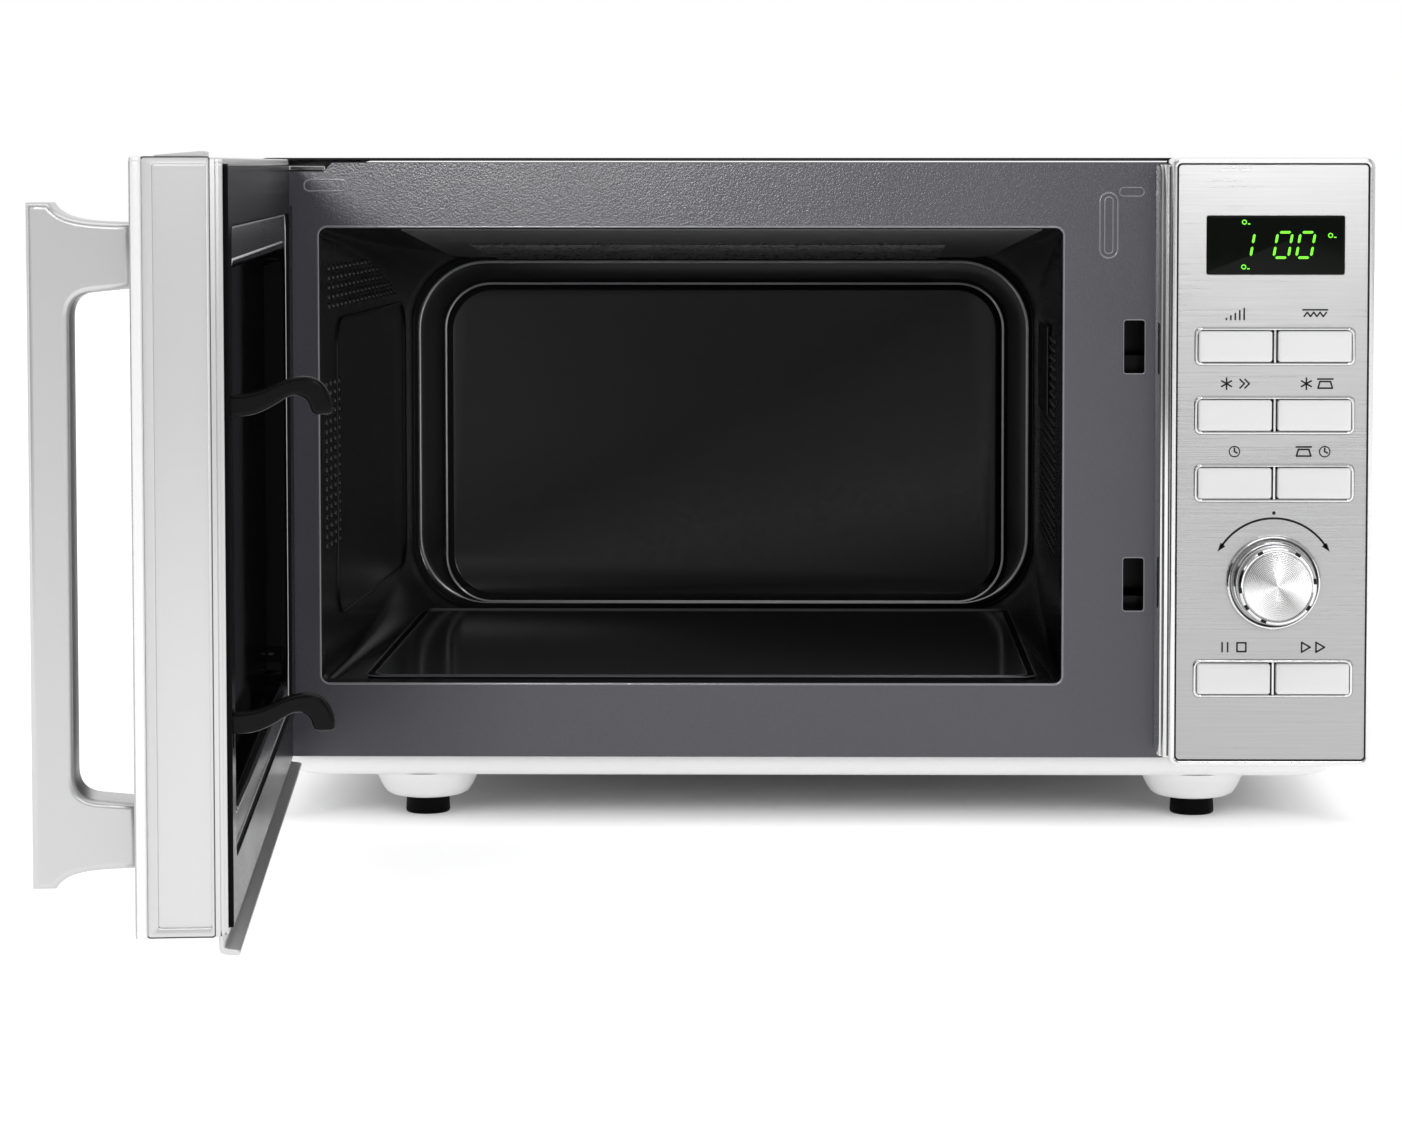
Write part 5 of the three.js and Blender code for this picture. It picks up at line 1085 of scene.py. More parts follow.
# %% control panel moulding
STEP_X, PX1, _, _, PZ0, PZ1 = plan_box("control_frame")
FASCIA = plan_box("control_fascia")
PX0 = FASCIA[0] - 3.2
FRONT_Y = -35
face_y = FASCIA[2]
panel = (PX0, PX1, PZ0, PZ1)
R_PANEL = 4.2
frame_rings = [upright_ring(inset(panel, d), max(R_PANEL - d * 0.8, 0.8), y, 8) for d, y in (
    (0.0, -1.0), (0.0, FRONT_Y + 1.5), (0.15, FRONT_Y + 0.7), (0.5, FRONT_Y + 0.2), (1.0, FRONT_Y),
    (2.1, FRONT_Y), (2.4, FRONT_Y + 0.2), (2.55, FRONT_Y + 0.6), (2.6, face_y + 0.5), (3.4, face_y + 0.5))]
frame_rings += [upright_ring(inset(panel, 4), 1, y, 8) for y in (face_y + 2, -1.0)]
panel_mesh = loft(frame_rings, closed=True)
side_profile = [(STEP_X, -1), (STEP_X, -24.4), (STEP_X + 0.5, -25.6), (STEP_X + 1.2, -25.8),
                (STEP_X + 1.5, -26.4), (STEP_X + 1.5, -29), (STEP_X + 2.0, -29.8), (PX0 + 0.4, -30),
                (PX0 + 1.2, -30), (PX0 + 1.2, -1)]
side_mesh = sheet([side_profile], PZ0 + 3.2, PZ1 - 3.2, 0.25, LEVEL, 1)
print("panel", round(PX1 - PX0), "x", round(PZ1 - PZ0), "mm")

# %% [markdown]
# Each pair of keys sits in a raised bright ring with a bar between the two, over a dark well.
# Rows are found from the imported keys, so the rings follow them.

# %% the rings round the keys, and the panel's seams
KEYS_HALF_W, KEYS_HALF_H = 36.1, 8.6
ring_boxes = []
buttons = [n for n in NODES if n.startswith("button_")]
panel_mid = sum(plan_box("display_window")[:2]) / 2
ring_meshes = []
for z in sorted({round(sum(plan_box(b)[4:6]) / 2, 2) for b in buttons}):
    pair = (panel_mid - KEYS_HALF_W, panel_mid + KEYS_HALF_W, z - KEYS_HALF_H, z + KEYS_HALF_H)
    outer = [upright_ring(inset(pair, d), 3 - d * 0.5, y, 6) for d, y in (
        (0, face_y + 0.6), (0, face_y - 0.25), (0.25, face_y - 0.6), (0.7, face_y - 0.75),
        (1.1, face_y - 0.6), (1.3, face_y - 0.2), (1.3, face_y + 0.9))]
    ring_meshes.append(loft(outer, closed=True))
    bar = (panel_mid - 0.55, panel_mid + 0.55, z - 7.4, z + 7.4)
    ring_meshes.append(sheet([round_rect(*bar, 0.4, 3)], -face_y - 0.9, -face_y + 0.45, 0.25, UPRIGHT, 2))
    ring_boxes.append(pair)
SEAM_SECTION = ((2.65, face_y + 0.4), (2.65, face_y - 0.02), (3.15, face_y - 0.02), (3.15, face_y + 0.4))
seam = [upright_ring(inset(panel, d), 1.9, y, 8) for d, y in SEAM_SECTION]
keep("panel_seam", loft(seam, closed=True), INK, slot="silver_moulding")
# Dark grey lines down the panel's side: painted shade at its step, and the joint at its front corner.
SIDE_LINES = ((STEP_X + 1.45, -26.3), (PX0 - 0.3, -30.1))
side_lines = [rod_along([(x, y, PZ0 + 4), (x, y, PZ1 - 4)], 0.28) for x, y in SIDE_LINES]
keep("panel_side_lines", joined(*side_lines), SEAM_GREY, slot="silver_moulding")
keep("control_frame_fine", joined(panel_mesh, side_mesh), SILVER_BRIGHT, slot="silver_moulding",
     replaces=["control_frame"])
keep("button_rings", joined(*ring_meshes), SILVER_BRIGHT, slot="silver_moulding")
WELL_DEPTH = 8.6
well = [sheet([round_rect(*inset(b, 1.2), 2, 4)], -face_y - WELL_DEPTH - 1, -face_y - WELL_DEPTH, 0.2,
              UPRIGHT, 1) for b in ring_boxes]
keep("button_wells", joined(*well), BLACK_PLASTIC, slot="silver_moulding")
print("key rings:", len(ring_boxes))

# %% [markdown]
# The panel's face is thin brushed steel with openings for the keys and the display. It is one
# sheet, and its grain runs across because the finish's noise is stretched that way.

# %% steel face
LENS_BOX = plan_box("display_window")
lens_rect = (LENS_BOX[0], LENS_BOX[1], LENS_BOX[4], LENS_BOX[5])
openings = [round_rect(*inset(b, -0.1), 3, 6)
            for b in ring_boxes] + [round_rect(*inset(lens_rect, -0.25), 0.9, 4)]
face_rect = (FASCIA[0], FASCIA[1], FASCIA[4], FASCIA[5])
fascia_mesh = sheet([round_rect(*face_rect, 1.6, 5), *openings], -face_y - 0.7, -face_y, 0.12, UPRIGHT, 2)
steel_face = keep("control_fascia_fine", fascia_mesh, BRUSHED, slot="brushed_panel",
                  replaces=["control_fascia"])
lit_by_face_lamp.link(steel_face)
print("openings in the steel face:", len(openings))

# %% [markdown]
# Each key is a cap with soft edges and a slight crown, lofted from its back to the middle of its
# face. It rides on its own body, because each key is pressed by itself.

# %% buttons
for name in sorted(buttons):
    x0, x1, y0, y1, z0, z1 = plan_box(name)
    cap = (x0, x1, z0, z1)
    rings = [upright_ring(inset(cap, d), max(1.2 - d * 0.3, 0.5), y, 6) for d, y in (
        (0.2, y0 + 6), (0, y0 + 5), (0, y0 + 1.0), (0.12, y0 + 0.55), (0.4, y0 + 0.25), (0.8, y0 + 0.12),
        (3.0, y0 + 0.02), (6.4, y0))]
    keep(name + "_fine", loft(rings, cap_first=True, cap_last=True), BUTTON_SILVER, body=name,
         slot="button_silver", replaces=[name])
print("keys:", len(buttons))

# %% [markdown]
# The display is a black lens with green figures behind it. The figures are seven-segment
# strokes: each is a small six-sided bar, and a slant makes them italic. Small lamps stand for
# the mode signs.

# %% display
LENS_SECTION = ((0, face_y + 0.6), (0, face_y - 0.1), (0.2, face_y - 0.25), (0.5, face_y - 0.3))
lens = [upright_ring(inset(lens_rect, d), 0.8, y, 4) for d, y in LENS_SECTION]
keep("display_lens", loft(lens, cap_first=True, cap_last=True), DISPLAY, slot="display_black",
     replaces=["display_window"])
print("display", round(lens_rect[1] - lens_rect[0]), "x", round(lens_rect[3] - lens_rect[2]), "mm")

# %% [markdown]
# A figure is drawn from the strokes it lights, and the strokes stand just proud of the lens.

# %% the figures
SEGMENTS = {"0": "abcdef", "1": "bc"}
DIGIT_H, DIGIT_W, STROKE, SLANT = 11.4, 6.6, 1.15, 0.17
STROKE_GAP = 0.75


def segment(which, u, v):
    """One stroke of a figure, as a six-sided bar."""
    h, w, s = DIGIT_H / 2, DIGIT_W, STROKE / 2
    ends = {"a": ((0, 2 * h), (w, 2 * h)), "b": ((w, 2 * h), (w, h)), "c": ((w, h), (w, 0)),
            "d": ((0, 0), (w, 0)), "e": ((0, h), (0, 0)), "f": ((0, 2 * h), (0, h))}
    (a0, b0), (a1, b1) = ends[which]
    length = math.hypot(a1 - a0, b1 - b0)
    du, dv = (a1 - a0) / length, (b1 - b0) / length
    outline = []
    near, far = STROKE_GAP, length - STROKE_GAP
    for along, side in ((near, 0), (near + s, s), (far - s, s), (far, 0), (far - s, -s), (near + s, -s)):
        pu, pv = a0 + du * along - dv * side, b0 + dv * along + du * side
        outline.append((u + pu + pv * SLANT, v + pv))
    return outline


lens_mid_x, lens_mid_z = sum(lens_rect[:2]) / 2, sum(lens_rect[2:]) / 2
glow_face = -face_y + 0.34
strokes = []
base_v = lens_mid_z - 5.6


def lit(*outlines):
    """A lit shape just proud of the lens."""
    strokes.append(sheet(outlines, glow_face - 0.1, glow_face + 0.02, 0.02, UPRIGHT, 0))


for figure, u in (("1", lens_mid_x - 18.0), ("0", lens_mid_x - 1.0), ("0", lens_mid_x + 9.2)):
    for which in SEGMENTS[figure]:
        lit(segment(which, u, base_v))
for aside, up in ((-14.2, 10.4), (-14.4, -9.8), (24.6, 4.4)):
    u, v = lens_mid_x + aside, lens_mid_z + up
    lit(circle(u, v, 1.15, 16), circle(u, v, 0.7, 16))
    lit(round_rect(u + 1.5, u + 2.7, v - 1.1, v - 0.6, 0.2, 3))
keep("display_figures", joined(*strokes), GLOW, slot="display_black")
print("lit shapes:", len(strokes))

# %% [markdown]
# The knob is turned metal: a chrome skirt, a bright ring with a few notches and a disc spun in
# fine circles. The circles are real rings in the finish, centred on the knob, and bend the light;
# the fans that they spread a highlight into are painted highlight, a ramp of wedges in the disc's colour.

# %% the spun finish
KX0, KX1, _, knob_back, KZ0, KZ1 = plan_box("knob")
kx, kz = (KX0 + KX1) / 2, (KZ0 + KZ1) / 2
spun = finish("spun_metal", (0.70, 0.70, 0.70), rough=0.24, metal=1.0, bump=0.04, spread=0.04,
              tint=0.03, cloud=40, depth=0.0001)
tree = spun.node_tree
shader = tree.nodes["Principled BSDF"]
spot = tree.nodes.new("ShaderNodeTexCoord")
centre = tree.nodes.new("ShaderNodeMapping")
axle = CABINET @ Vector((kx, 0, kz))
centre.inputs["Location"].default_value = (-axle.x, -axle.z, 0)
swap = tree.nodes.new("ShaderNodeSeparateXYZ")
flat = tree.nodes.new("ShaderNodeCombineXYZ")
tree.links.new(spot.outputs["Object"], swap.inputs["Vector"])
tree.links.new(swap.outputs["X"], flat.inputs["X"])
tree.links.new(swap.outputs["Z"], flat.inputs["Y"])
tree.links.new(flat.outputs["Vector"], centre.inputs["Vector"])
rings_wave = tree.nodes.new("ShaderNodeTexWave")
rings_wave.wave_type = "RINGS"
rings_wave.rings_direction = "Z"
rings_wave.inputs["Scale"].default_value = 420
tree.links.new(centre.outputs["Vector"], rings_wave.inputs["Vector"])
grooves = tree.nodes.new("ShaderNodeBump")
grooves.inputs["Strength"].default_value = 0.55
grooves.inputs["Distance"].default_value = 0.00012
tree.links.new(rings_wave.outputs["Fac"], grooves.inputs["Height"])
tree.links.new(grooves.outputs["Normal"], shader.inputs["Normal"])
# Painted highlight: lighter and darker wedges round the knob's middle are put into the disc's colour.
fans = tree.nodes.new("ShaderNodeTexGradient")
fans.gradient_type = "RADIAL"
tree.links.new(centre.outputs["Vector"], fans.inputs["Vector"])
ramp = tree.nodes.new("ShaderNodeValToRGB")
ramp.color_ramp.elements[0].position = 0.0
FAN_SHADES = ((0.0, 0.62), (0.07, 0.95), (0.16, 0.80), (0.25, 0.60), (0.36, 0.45), (0.46, 0.90),
              (0.52, 0.95), (0.60, 0.75), (0.72, 0.95), (0.80, 0.62), (0.92, 0.42), (1.0, 0.62))
while len(ramp.color_ramp.elements) > 1:
    ramp.color_ramp.elements.remove(ramp.color_ramp.elements[-1])
for i, (at, shade) in enumerate(FAN_SHADES):
    stop = ramp.color_ramp.elements[0] if i == 0 else ramp.color_ramp.elements.new(at)
    stop.position = at
    stop.color = (shade, shade, shade, 1)
tree.links.new(fans.outputs["Fac"], ramp.inputs["Fac"])
tree.links.new(ramp.outputs["Color"], shader.inputs["Base Color"])
print("fans of light on the disc:", len(FAN_SHADES))

# %% [markdown]
# The body, the disc and the bezel are turned profiles. The notches are small inked pads set
# round the rim at uneven angles, which shows that the knob turns.

# %% knob and its bezel
KNOB_STEPS = 96
body_profile = [(2.9, 0.3), (18.6, 0.3), (18.8, 0.6), (18.8, 3.2), (18.5, 3.8), (18.1, 4.2), (17.9, 13.6),
                (17.6, 14.8), (17.0, 15.6), (16.3, 15.9), (15.7, 15.7), (15.5, 15.2), (3, 15.2)]
disc_profile = [(3, 15.0), (15.35, 15.0), (15.4, 15.5), (15.2, 15.9), (14.9, 16.05), (6, 16.05), (0.4, 16.05)]
keep("knob_body", turned(body_profile, (kx, knob_back, kz), "Y", KNOB_STEPS), CHROME, body="control_knob",
     slot="chrome_trim", replaces=["knob"])
keep("knob_disc", turned(disc_profile, (kx, knob_back, kz), "Y", KNOB_STEPS), spun, body="control_knob",
     slot="chrome_trim")
notches = []
for degrees in (8, 58, 118, 186, 214, 248, 325):
    a = math.radians(degrees)
    notch = sheet([round_rect(16.1, 17.55, -1.3, 1.3, 0.3, 3)], 15.3, 15.95, 0.1, LEVEL, 1)
    notch.transform(Matrix.Translation((kx, knob_back, kz)) @ Matrix.Rotation(math.pi / 2, 4,
        "X") @ Matrix.Rotation(a, 4, "Z"))
    notches.append(notch)
keep("knob_notches", joined(*notches), INK, body="control_knob", slot="chrome_trim")
bezel_profile = [(19.3, -0.1), (21.5, -0.1), (21.7, 0.4), (21.5, 1.5), (21.1, 2.3), (20.6, 2.7),
                 (20.2, 2.6), (19.9, 2.0), (19.7, 0.9)]
turns = [2 * math.pi * i / KNOB_STEPS for i in range(KNOB_STEPS)]
bezel_rings = []
for r, w in bezel_profile:
    bezel_rings.append([(kx + r * math.cos(a), face_y - w, kz + r * math.sin(a)) for a in turns])
keep("knob_bezel_fine", loft(bezel_rings, closed=True), CHROME, slot="chrome_trim", replaces=["knob_bezel"])
print("knob", round(KX1 - KX0), "mm across, notches:", len(notches))

# %% [markdown]
# The words that such a panel carries are left out. Plain signs stand in their place: bars,
# waves, a flake, arrows, a scale and a dial. Each is a list of strokes, laid as thin ink on the
# steel in its row over the keys.

# %% printed signs
INK_TOP = -face_y + 0.06
ink = []


def printed(*outlines):
    """A patch of ink on the steel face. The first outline is outside, the others are holes."""
    ink.append(sheet(outlines, INK_TOP - 0.1, INK_TOP, 0.01, UPRIGHT, 0))


def ink_line(points, width=0.75):
    """A stroke of ink along points (u, v) on the steel face."""
    for (u0, v0), (u1, v1) in zip(points, points[1:]):
        length = math.hypot(u1 - u0, v1 - v0) or 1
        nu, nv = -(v1 - v0) / length * width / 2, (u1 - u0) / length * width / 2
        eu, ev = (u1 - u0) / length * width * 0.3, (v1 - v0) / length * width * 0.3
        start = [(u0 - eu + nu, v0 - ev + nv), (u0 - eu - nu, v0 - ev - nv)]
        end = [(u1 + eu - nu, v1 + ev - nv), (u1 + eu + nu, v1 + ev + nv)]
        printed(start + end)


def ink_ring(u, v, r, width=0.55):
    """A ring of ink round (u, v)."""
    printed(circle(u, v, r, 24), circle(u, v, r - width, 24))


print("ink stands", round(INK_TOP + face_y, 2), "mm proud of the steel")

# %% [markdown]
# Each sign is written once, about its own middle, and placed over its key. The arc over the knob
# ends in two arrow heads, because the knob turns both ways.

# %% the signs and the knob's arc
SIGN_SIZE, SIGN_UP = 1.25, 5.7
FLAKE_ARMS = [math.radians(a) for a in (30, 90, 150)]
BARS_SIGN = [[(1.6 * i - 3.2, -1.8), (1.6 * i - 3.2, 0.9 * i - 1.26)] for i in range(5)]
GRILL_SIGN = [[(-4.5, 1.8), (4.5, 1.8)], [(1.15 * i - 4, 0.9 if i % 2 else -0.6) for i in range(8)]]
FLAKE_SIGN = [[(s * 2.1 * math.cos(a), s * 2.1 * math.sin(a)) for s in (-1, 1)] for a in FLAKE_ARMS]
FASTER_SIGN = [[(tip - 1.6, 1.6), (tip, 0), (tip - 1.6, -1.6)] for tip in (0, 1.8)]
HANDS_SIGN = [[(0, 1.3), (0, 0), (1.0, -0.5)]]
SCALE_SIGN = [[(-2.6, -1.6), (2.6, -1.6), (1.9, 0.8), (-1.9, 0.8), (-2.6, -1.6)], [(-2.8, 1.7), (2.8, 1.7)]]
PAUSE_SIGN = [[(u, -1.7), (u, 1.7)] for u in (-1.0, 1.0)]
STOP_SIGN = [[(-1.6, -1.6), (1.6, -1.6), (1.6, 1.6), (-1.6, 1.6), (-1.6, -1.6)]]
START_SIGN = [[(-1.4, -1.8), (-1.4, 1.8), (1.7, 0), (-1.4, -1.8)]]
LEFT_KEY, RIGHT_KEY = panel_mid - 18, panel_mid + 18
SIGN_ROWS = (
    ((BARS_SIGN, LEFT_KEY, 0), (GRILL_SIGN, RIGHT_KEY, 0)),
    ((FLAKE_SIGN, LEFT_KEY, -3), (FASTER_SIGN, LEFT_KEY, 3.4), (FLAKE_SIGN, RIGHT_KEY, -3),
     (SCALE_SIGN, RIGHT_KEY, 3.8)),
    ((HANDS_SIGN, LEFT_KEY, 0), (SCALE_SIGN, RIGHT_KEY, -3.8), (HANDS_SIGN, RIGHT_KEY, 3.8)),
    ((PAUSE_SIGN, LEFT_KEY, -3), (STOP_SIGN, LEFT_KEY, 3), (START_SIGN, RIGHT_KEY, -2.6),
     (START_SIGN, RIGHT_KEY, 2.6)),
)
key_tops = sorted({round(b[3], 2) for b in ring_boxes}, reverse=True)
for row_top, signs in zip(key_tops, SIGN_ROWS):
    for strokes, middle, aside in signs:
        u0, v0 = middle + aside * SIGN_SIZE, row_top + SIGN_UP
        for points in strokes:
            ink_line([(u0 + u * SIGN_SIZE, v0 + v * SIGN_SIZE) for u, v in points])
        if strokes is HANDS_SIGN:
            ink_ring(u0, v0, 2.1 * SIGN_SIZE)
ARC_R, ARC_DROP = 28.2, 1.0
arc_turns = [math.radians(a) for a in range(32, 149, 4)]
arc = [(kx + ARC_R * math.cos(a), kz - ARC_DROP + 2.0 + ARC_R * math.sin(a)) for a in arc_turns]
ink_line(arc, 0.95)
printed(circle(kx, kz + ARC_R + 3.4, 0.8, 16))
for tip, towards in ((arc[0], -52), (arc[-1], -128)):
    a = math.radians(towards)
    wing = [(tip[0] + 2.4 * math.cos(a), tip[1] + 2.4 * math.sin(a))]
    for barb in (a + math.radians(140), a + math.radians(-140)):
        wing.append((tip[0] + 2.2 * math.cos(barb), tip[1] + 2.2 * math.sin(barb)))
    printed(wing)
keep("printed_signs", joined(*ink), INK, slot="brushed_panel", smooth=None)
print("ink strokes:", len(ink))

# %% [markdown]
# The door is drawn shut, as it lies against the plate, and then swings. Its free edge is the
# part that faces the user here: an outer rounded strip, a groove, a long sunk panel and two
# narrow rails beside the black cover.

# %% door frame
DX0, DX1, DY0, DY1, DZ0, DZ1 = plan_box("door_skin", DOOR)
DX0, DX1, DZ0, DZ1 = DX0 - 0.5, DX1 + 0.5, DZ0 - 0.5, DZ1 + 0.5
EDGE_X = DX1 - 4
door = (DX0, DX1, DZ0, DZ1)
GLASS = plan_box("door_glass", DOOR)
VIEW = (GLASS[0] + 8, GLASS[1] - 8, GLASS[4] + 8, GLASS[5] - 8)
rim = [upright_ring(inset(door, d), max(3 - d * 0.5, 0.8), y, 8) for d, y in (
    (6, -31), (0.9, -31), (0.35, -31.3), (0, -32), (0, -33.6), (0.3, -34.3), (0.8, -34.6), (6, -34.6))]
rim_mesh = loft(rim, closed=True)
print("door", round(DX1 - DX0), "x", round(DZ1 - DZ0), "mm")

# %% [markdown]
# The walls are one closed loft. The free edge is a second loft that steps down into the sunk
# panel, and its dark seams are fine grey lines laid in the steps: painted shade in its grooves.

# %% the door's walls and its free edge
BACK_Y = -3.0
walls = (DX0, EDGE_X - 0.6, DZ0 + 0.6, DZ1 - 0.6)
wall_rings = [upright_ring(inset(walls, d), max(3 - d * 0.3, 0.6), y, 8) for d, y in (
    (0.1, -31.2), (0.1, BACK_Y - 0.4), (0.5, BACK_Y), (2.2, BACK_Y), (2.3, -4.0), (2.3, -30.5))]
wall_mesh = loft(wall_rings, closed=True)
# The free edge is a frame round a sunk panel, then two rails beside the black cover.
EDGE_FRAME = (-31.1, -7.4, DZ0 + 0.9, DZ1 - 0.6)


def edge_ring(du0, du1, dv0, dv1, r, x):
    """A ring on the free edge, inset from the frame by its own amount on each side."""
    box = (EDGE_FRAME[0] + du0, EDGE_FRAME[1] - du1, EDGE_FRAME[2] + dv0, EDGE_FRAME[3] - dv1)
    return [(x, u, v) for u, v in round_rect(*box, r, 6)]


edge_rings = [edge_ring(*values) for values in (
    (0.0, 0.0, 0.0, 0.0, 1.0, EDGE_X - 1.0), (0.0, 0.0, 0.0, 0.0, 1.0, EDGE_X - 0.2),
    (0.3, 0.3, 0.3, 0.3, 1.0, EDGE_X + 0.2),
    (3.4, 0.8, 2.8, 1.8, 1.0, EDGE_X + 0.3), (3.8, 1.1, 3.2, 2.2, 0.9, EDGE_X + 0.1),
    (4.0, 1.3, 3.4, 2.4, 0.8, EDGE_X - 0.8),
    (4.2, 1.5, 3.7, 2.7, 0.6, EDGE_X - 2.8), (5.0, 2.4, 4.6, 3.6, 0.5, EDGE_X - 3.0),
    (9.0, 6.0, 9.0, 9.0, 0.4, EDGE_X - 2.95))]
edge_mesh = loft(edge_rings, cap_last=True)
# Painted shade: dark grey lines in the grooves of the free edge.
edge_seams = [closed_rod(edge_ring(4.7, 1.9, 4.2, 3.1, 0.6, EDGE_X - 2.9), 0.65),
              closed_rod(edge_ring(-0.15, -0.15, -0.15, -0.15, 1.1, EDGE_X - 0.2), 0.22)]
keep("door_edge_seams", joined(*edge_seams), SEAM_GREY, DOOR, "door", "silver_moulding")
rails = []
for y0, y1, proud in ((-7.2, -5.6, 0.3), (-5.2, -4.2, -0.3)):
    rails.append(sheet([[(EDGE_X - 2.2, y0), (EDGE_X + proud, y0), (EDGE_X + proud, y1),
                         (EDGE_X - 2.2, y1)]], DZ0 + 0.8, DZ1 - 1.0, 0.35, LEVEL, 2))
wall_mesh = joined(wall_mesh, edge_mesh, *rails)
print("rings down to the sunk panel:", len(edge_rings), "and rails:", len(rails))

# %% [markdown]
# A lip under the door carries drops clear of the seal, and a short visor tops the free corner.

# %% its drip lip and visor
lip_profile = [(-6.2, DZ0 + 1.2), (-6.2, DZ0 - 3.6), (-5.6, DZ0 - 5.0), (-4.2, DZ0 - 5.6),
               (0.4, DZ0 - 6.0), (1.2, DZ0 - 5.6), (1.2, DZ0 - 4.4),
               (0.4, DZ0 - 3.9), (-3.0, DZ0 - 3.5), (-4.2, DZ0 - 2.9), (-4.4, DZ0 + 1.2)]
lip_mesh = sheet([lip_profile], DX0 + 1, EDGE_X, 0.3, ACROSS, 2)
visor_profile = [(-28, DZ1 - 0.8), (-26, DZ1 + 0.3), (-10.5, DZ1 + 1.6), (-9.5, DZ1 + 1.4), (-9.4, DZ1 - 0.8)]
visor_mesh = sheet([visor_profile], DX1 - 30, DX1 - 5, 0.2, ACROSS, 2)
inner_front = sheet([round_rect(*inset(door, 3), 2, 6), round_rect(*VIEW, 10, 8)], 31.3, 34.1, 0.3,
                    UPRIGHT, 2)
door_frame = keep("door_frame_fine", joined(wall_mesh, lip_mesh, visor_mesh, inner_front), SILVER, DOOR,
                  "door", "silver_moulding", ["door_frame"])
# The outer rounded strip in a lighter silver: a painted highlight along the rounded edge.
door_rim = keep("door_rim", rim_mesh, STRIP_SILVER, DOOR, "door", "silver_moulding")
lit_by_door_lamp.link(door_frame)
lit_by_door_lamp.link(door_rim)
print("door frame points:", len(door_frame.data.vertices))

# %% [markdown]
# The door's outer face is a brushed skin round a black window, with a handle in one piece. The
# handle's side view is two curved feet and a straight grip, cut as a sheet with round edges.

# %% door skin, glass and handle
skin_mesh = sheet([round_rect(*inset(door, 0.6), 2.6, 6), round_rect(*inset(VIEW, -1), 11, 8)], 34.45,
                  35.0, 0.2, UPRIGHT, 2)
keep("door_skin_fine", skin_mesh, BRUSHED_DOOR, DOOR, "door", "brushed_panel", ["door_skin"])
glass_mesh = sheet([round_rect(GLASS[0], GLASS[1], GLASS[4], GLASS[5], 6, 6)], -GLASS[3], -GLASS[2], 0.3,
                   UPRIGHT, 2)
keep("door_glass_fine", glass_mesh, DOOR_GLASS, DOOR, "door", "door_glass", ["door_glass"])

HX0, HX1, HY0, HY1, HZ0, HZ1 = plan_box("handle", DOOR)


def bezier(p0, p1, p2, p3, steps=10):
    """Points along the curve from p0 to p3 that leaves towards p1 and comes in from p2."""
    points = []
    for i in range(steps + 1):
        t = i / steps
        k = ((1 - t) ** 3, 3 * t * (1 - t) ** 2, 3 * t * t * (1 - t), t ** 3)
        mixed = zip(p0, p1, p2, p3)
        points.append(tuple(k[0] * a + k[1] * b + k[2] * c + k[3] * d for a, b, c, d in mixed))
    return points


GRIP_T = 14.8
out_y, foot_y = HY0, HY1
grip_y = out_y + GRIP_T
mid_z, half = (HZ0 + HZ1) / 2, (HZ1 - HZ0) / 2


def handle_half(sign):
    """The handle's side view from the outer face to the grip's inner face, for one end."""
    def z(d):
        return mid_z + sign * (half - d)

    run = [(out_y, z(0))]
    run += bezier((out_y + 8.2, z(0)), (out_y + 11.5, z(5.4)), (out_y + 18, z(6.9)), (foot_y, z(7.0)))
    run += [(foot_y, z(30.2))]
    run += bezier((grip_y + 8.5, z(31.6)), (grip_y + 3.2, z(32.2)), (grip_y, z(34.5)), (grip_y, z(41)))
    return run


handle_profile = handle_half(-1) + list(reversed(handle_half(1)))
handle_mesh = sheet([handle_profile], HX0, HX1, 2.4, ACROSS, 5)
lit_by_door_lamp.link(keep("handle_fine", handle_mesh, HANDLE_SILVER, DOOR, "door", "handle_silver",
                           ["handle"]))
print("handle", round(HZ1 - HZ0), "mm high, proud of the door by", round(DY0 - HY0), "mm")

# %% [markdown]
# The door's inner side is a black cover round a screen frame with a sunk window. The cover steps
# in beside the two hinges, so that it clears them when the door is shut.

# %% the inner cover
COVER = plan_box("choke_cover", DOOR)
cover_box = (COVER[0], COVER[1], COVER[4], COVER[5])
hook_box = plan_box("latch_bar", DOOR)
hook_x = (hook_box[0] + hook_box[1]) / 2
hook_roots = [slot_zs[0] - 1, slot_zs[1] - 3.5]
PANE = plan_box("inner_window", DOOR)
screen_rim = (PANE[0] - 15, PANE[1] + 12, PANE[4] - 15, PANE[5] + 15)
hook_holes = [round_rect(hook_x - 2.8, hook_x + 2.8, z - 8.5, z + 5, 1, 3) for z in hook_roots]
HINGE_NOTCH_X = DX0 + 27.5
notch_top, notch_bottom = PLATE_Z1 - 20, PLATE_Z0 + 21
right_side = [p for p in round_rect(*cover_box, 3, 6) if p[0] > HINGE_NOTCH_X]
lower_right = [p for p in right_side if p[1] < (notch_top + notch_bottom) / 2]
upper_right = [p for p in right_side if p[1] > (notch_top + notch_bottom) / 2]
cover_outline = [(HINGE_NOTCH_X, cover_box[2])] + sorted(lower_right, key=lambda p: p[0] + p[1])
cover_outline += sorted(upper_right, key=lambda p: p[1] - p[0])
cover_outline += [(HINGE_NOTCH_X, cover_box[3]), (HINGE_NOTCH_X, notch_top), (cover_box[0], notch_top)]
cover_outline += [(cover_box[0], notch_bottom), (HINGE_NOTCH_X, notch_bottom)]
cover_mesh = sheet([cover_outline, round_rect(*screen_rim, 6, 8), *hook_holes], 1.2, 3.6, 0.7, UPRIGHT, 3)
keep("choke_cover_fine", cover_mesh, INNER_PAINT, DOOR, "door", "black_plastic", ["choke_cover"])
print("cover", round(COVER[1] - COVER[0]), "x", round(COVER[5] - COVER[4]), "mm, hook holes:",
      len(hook_holes))

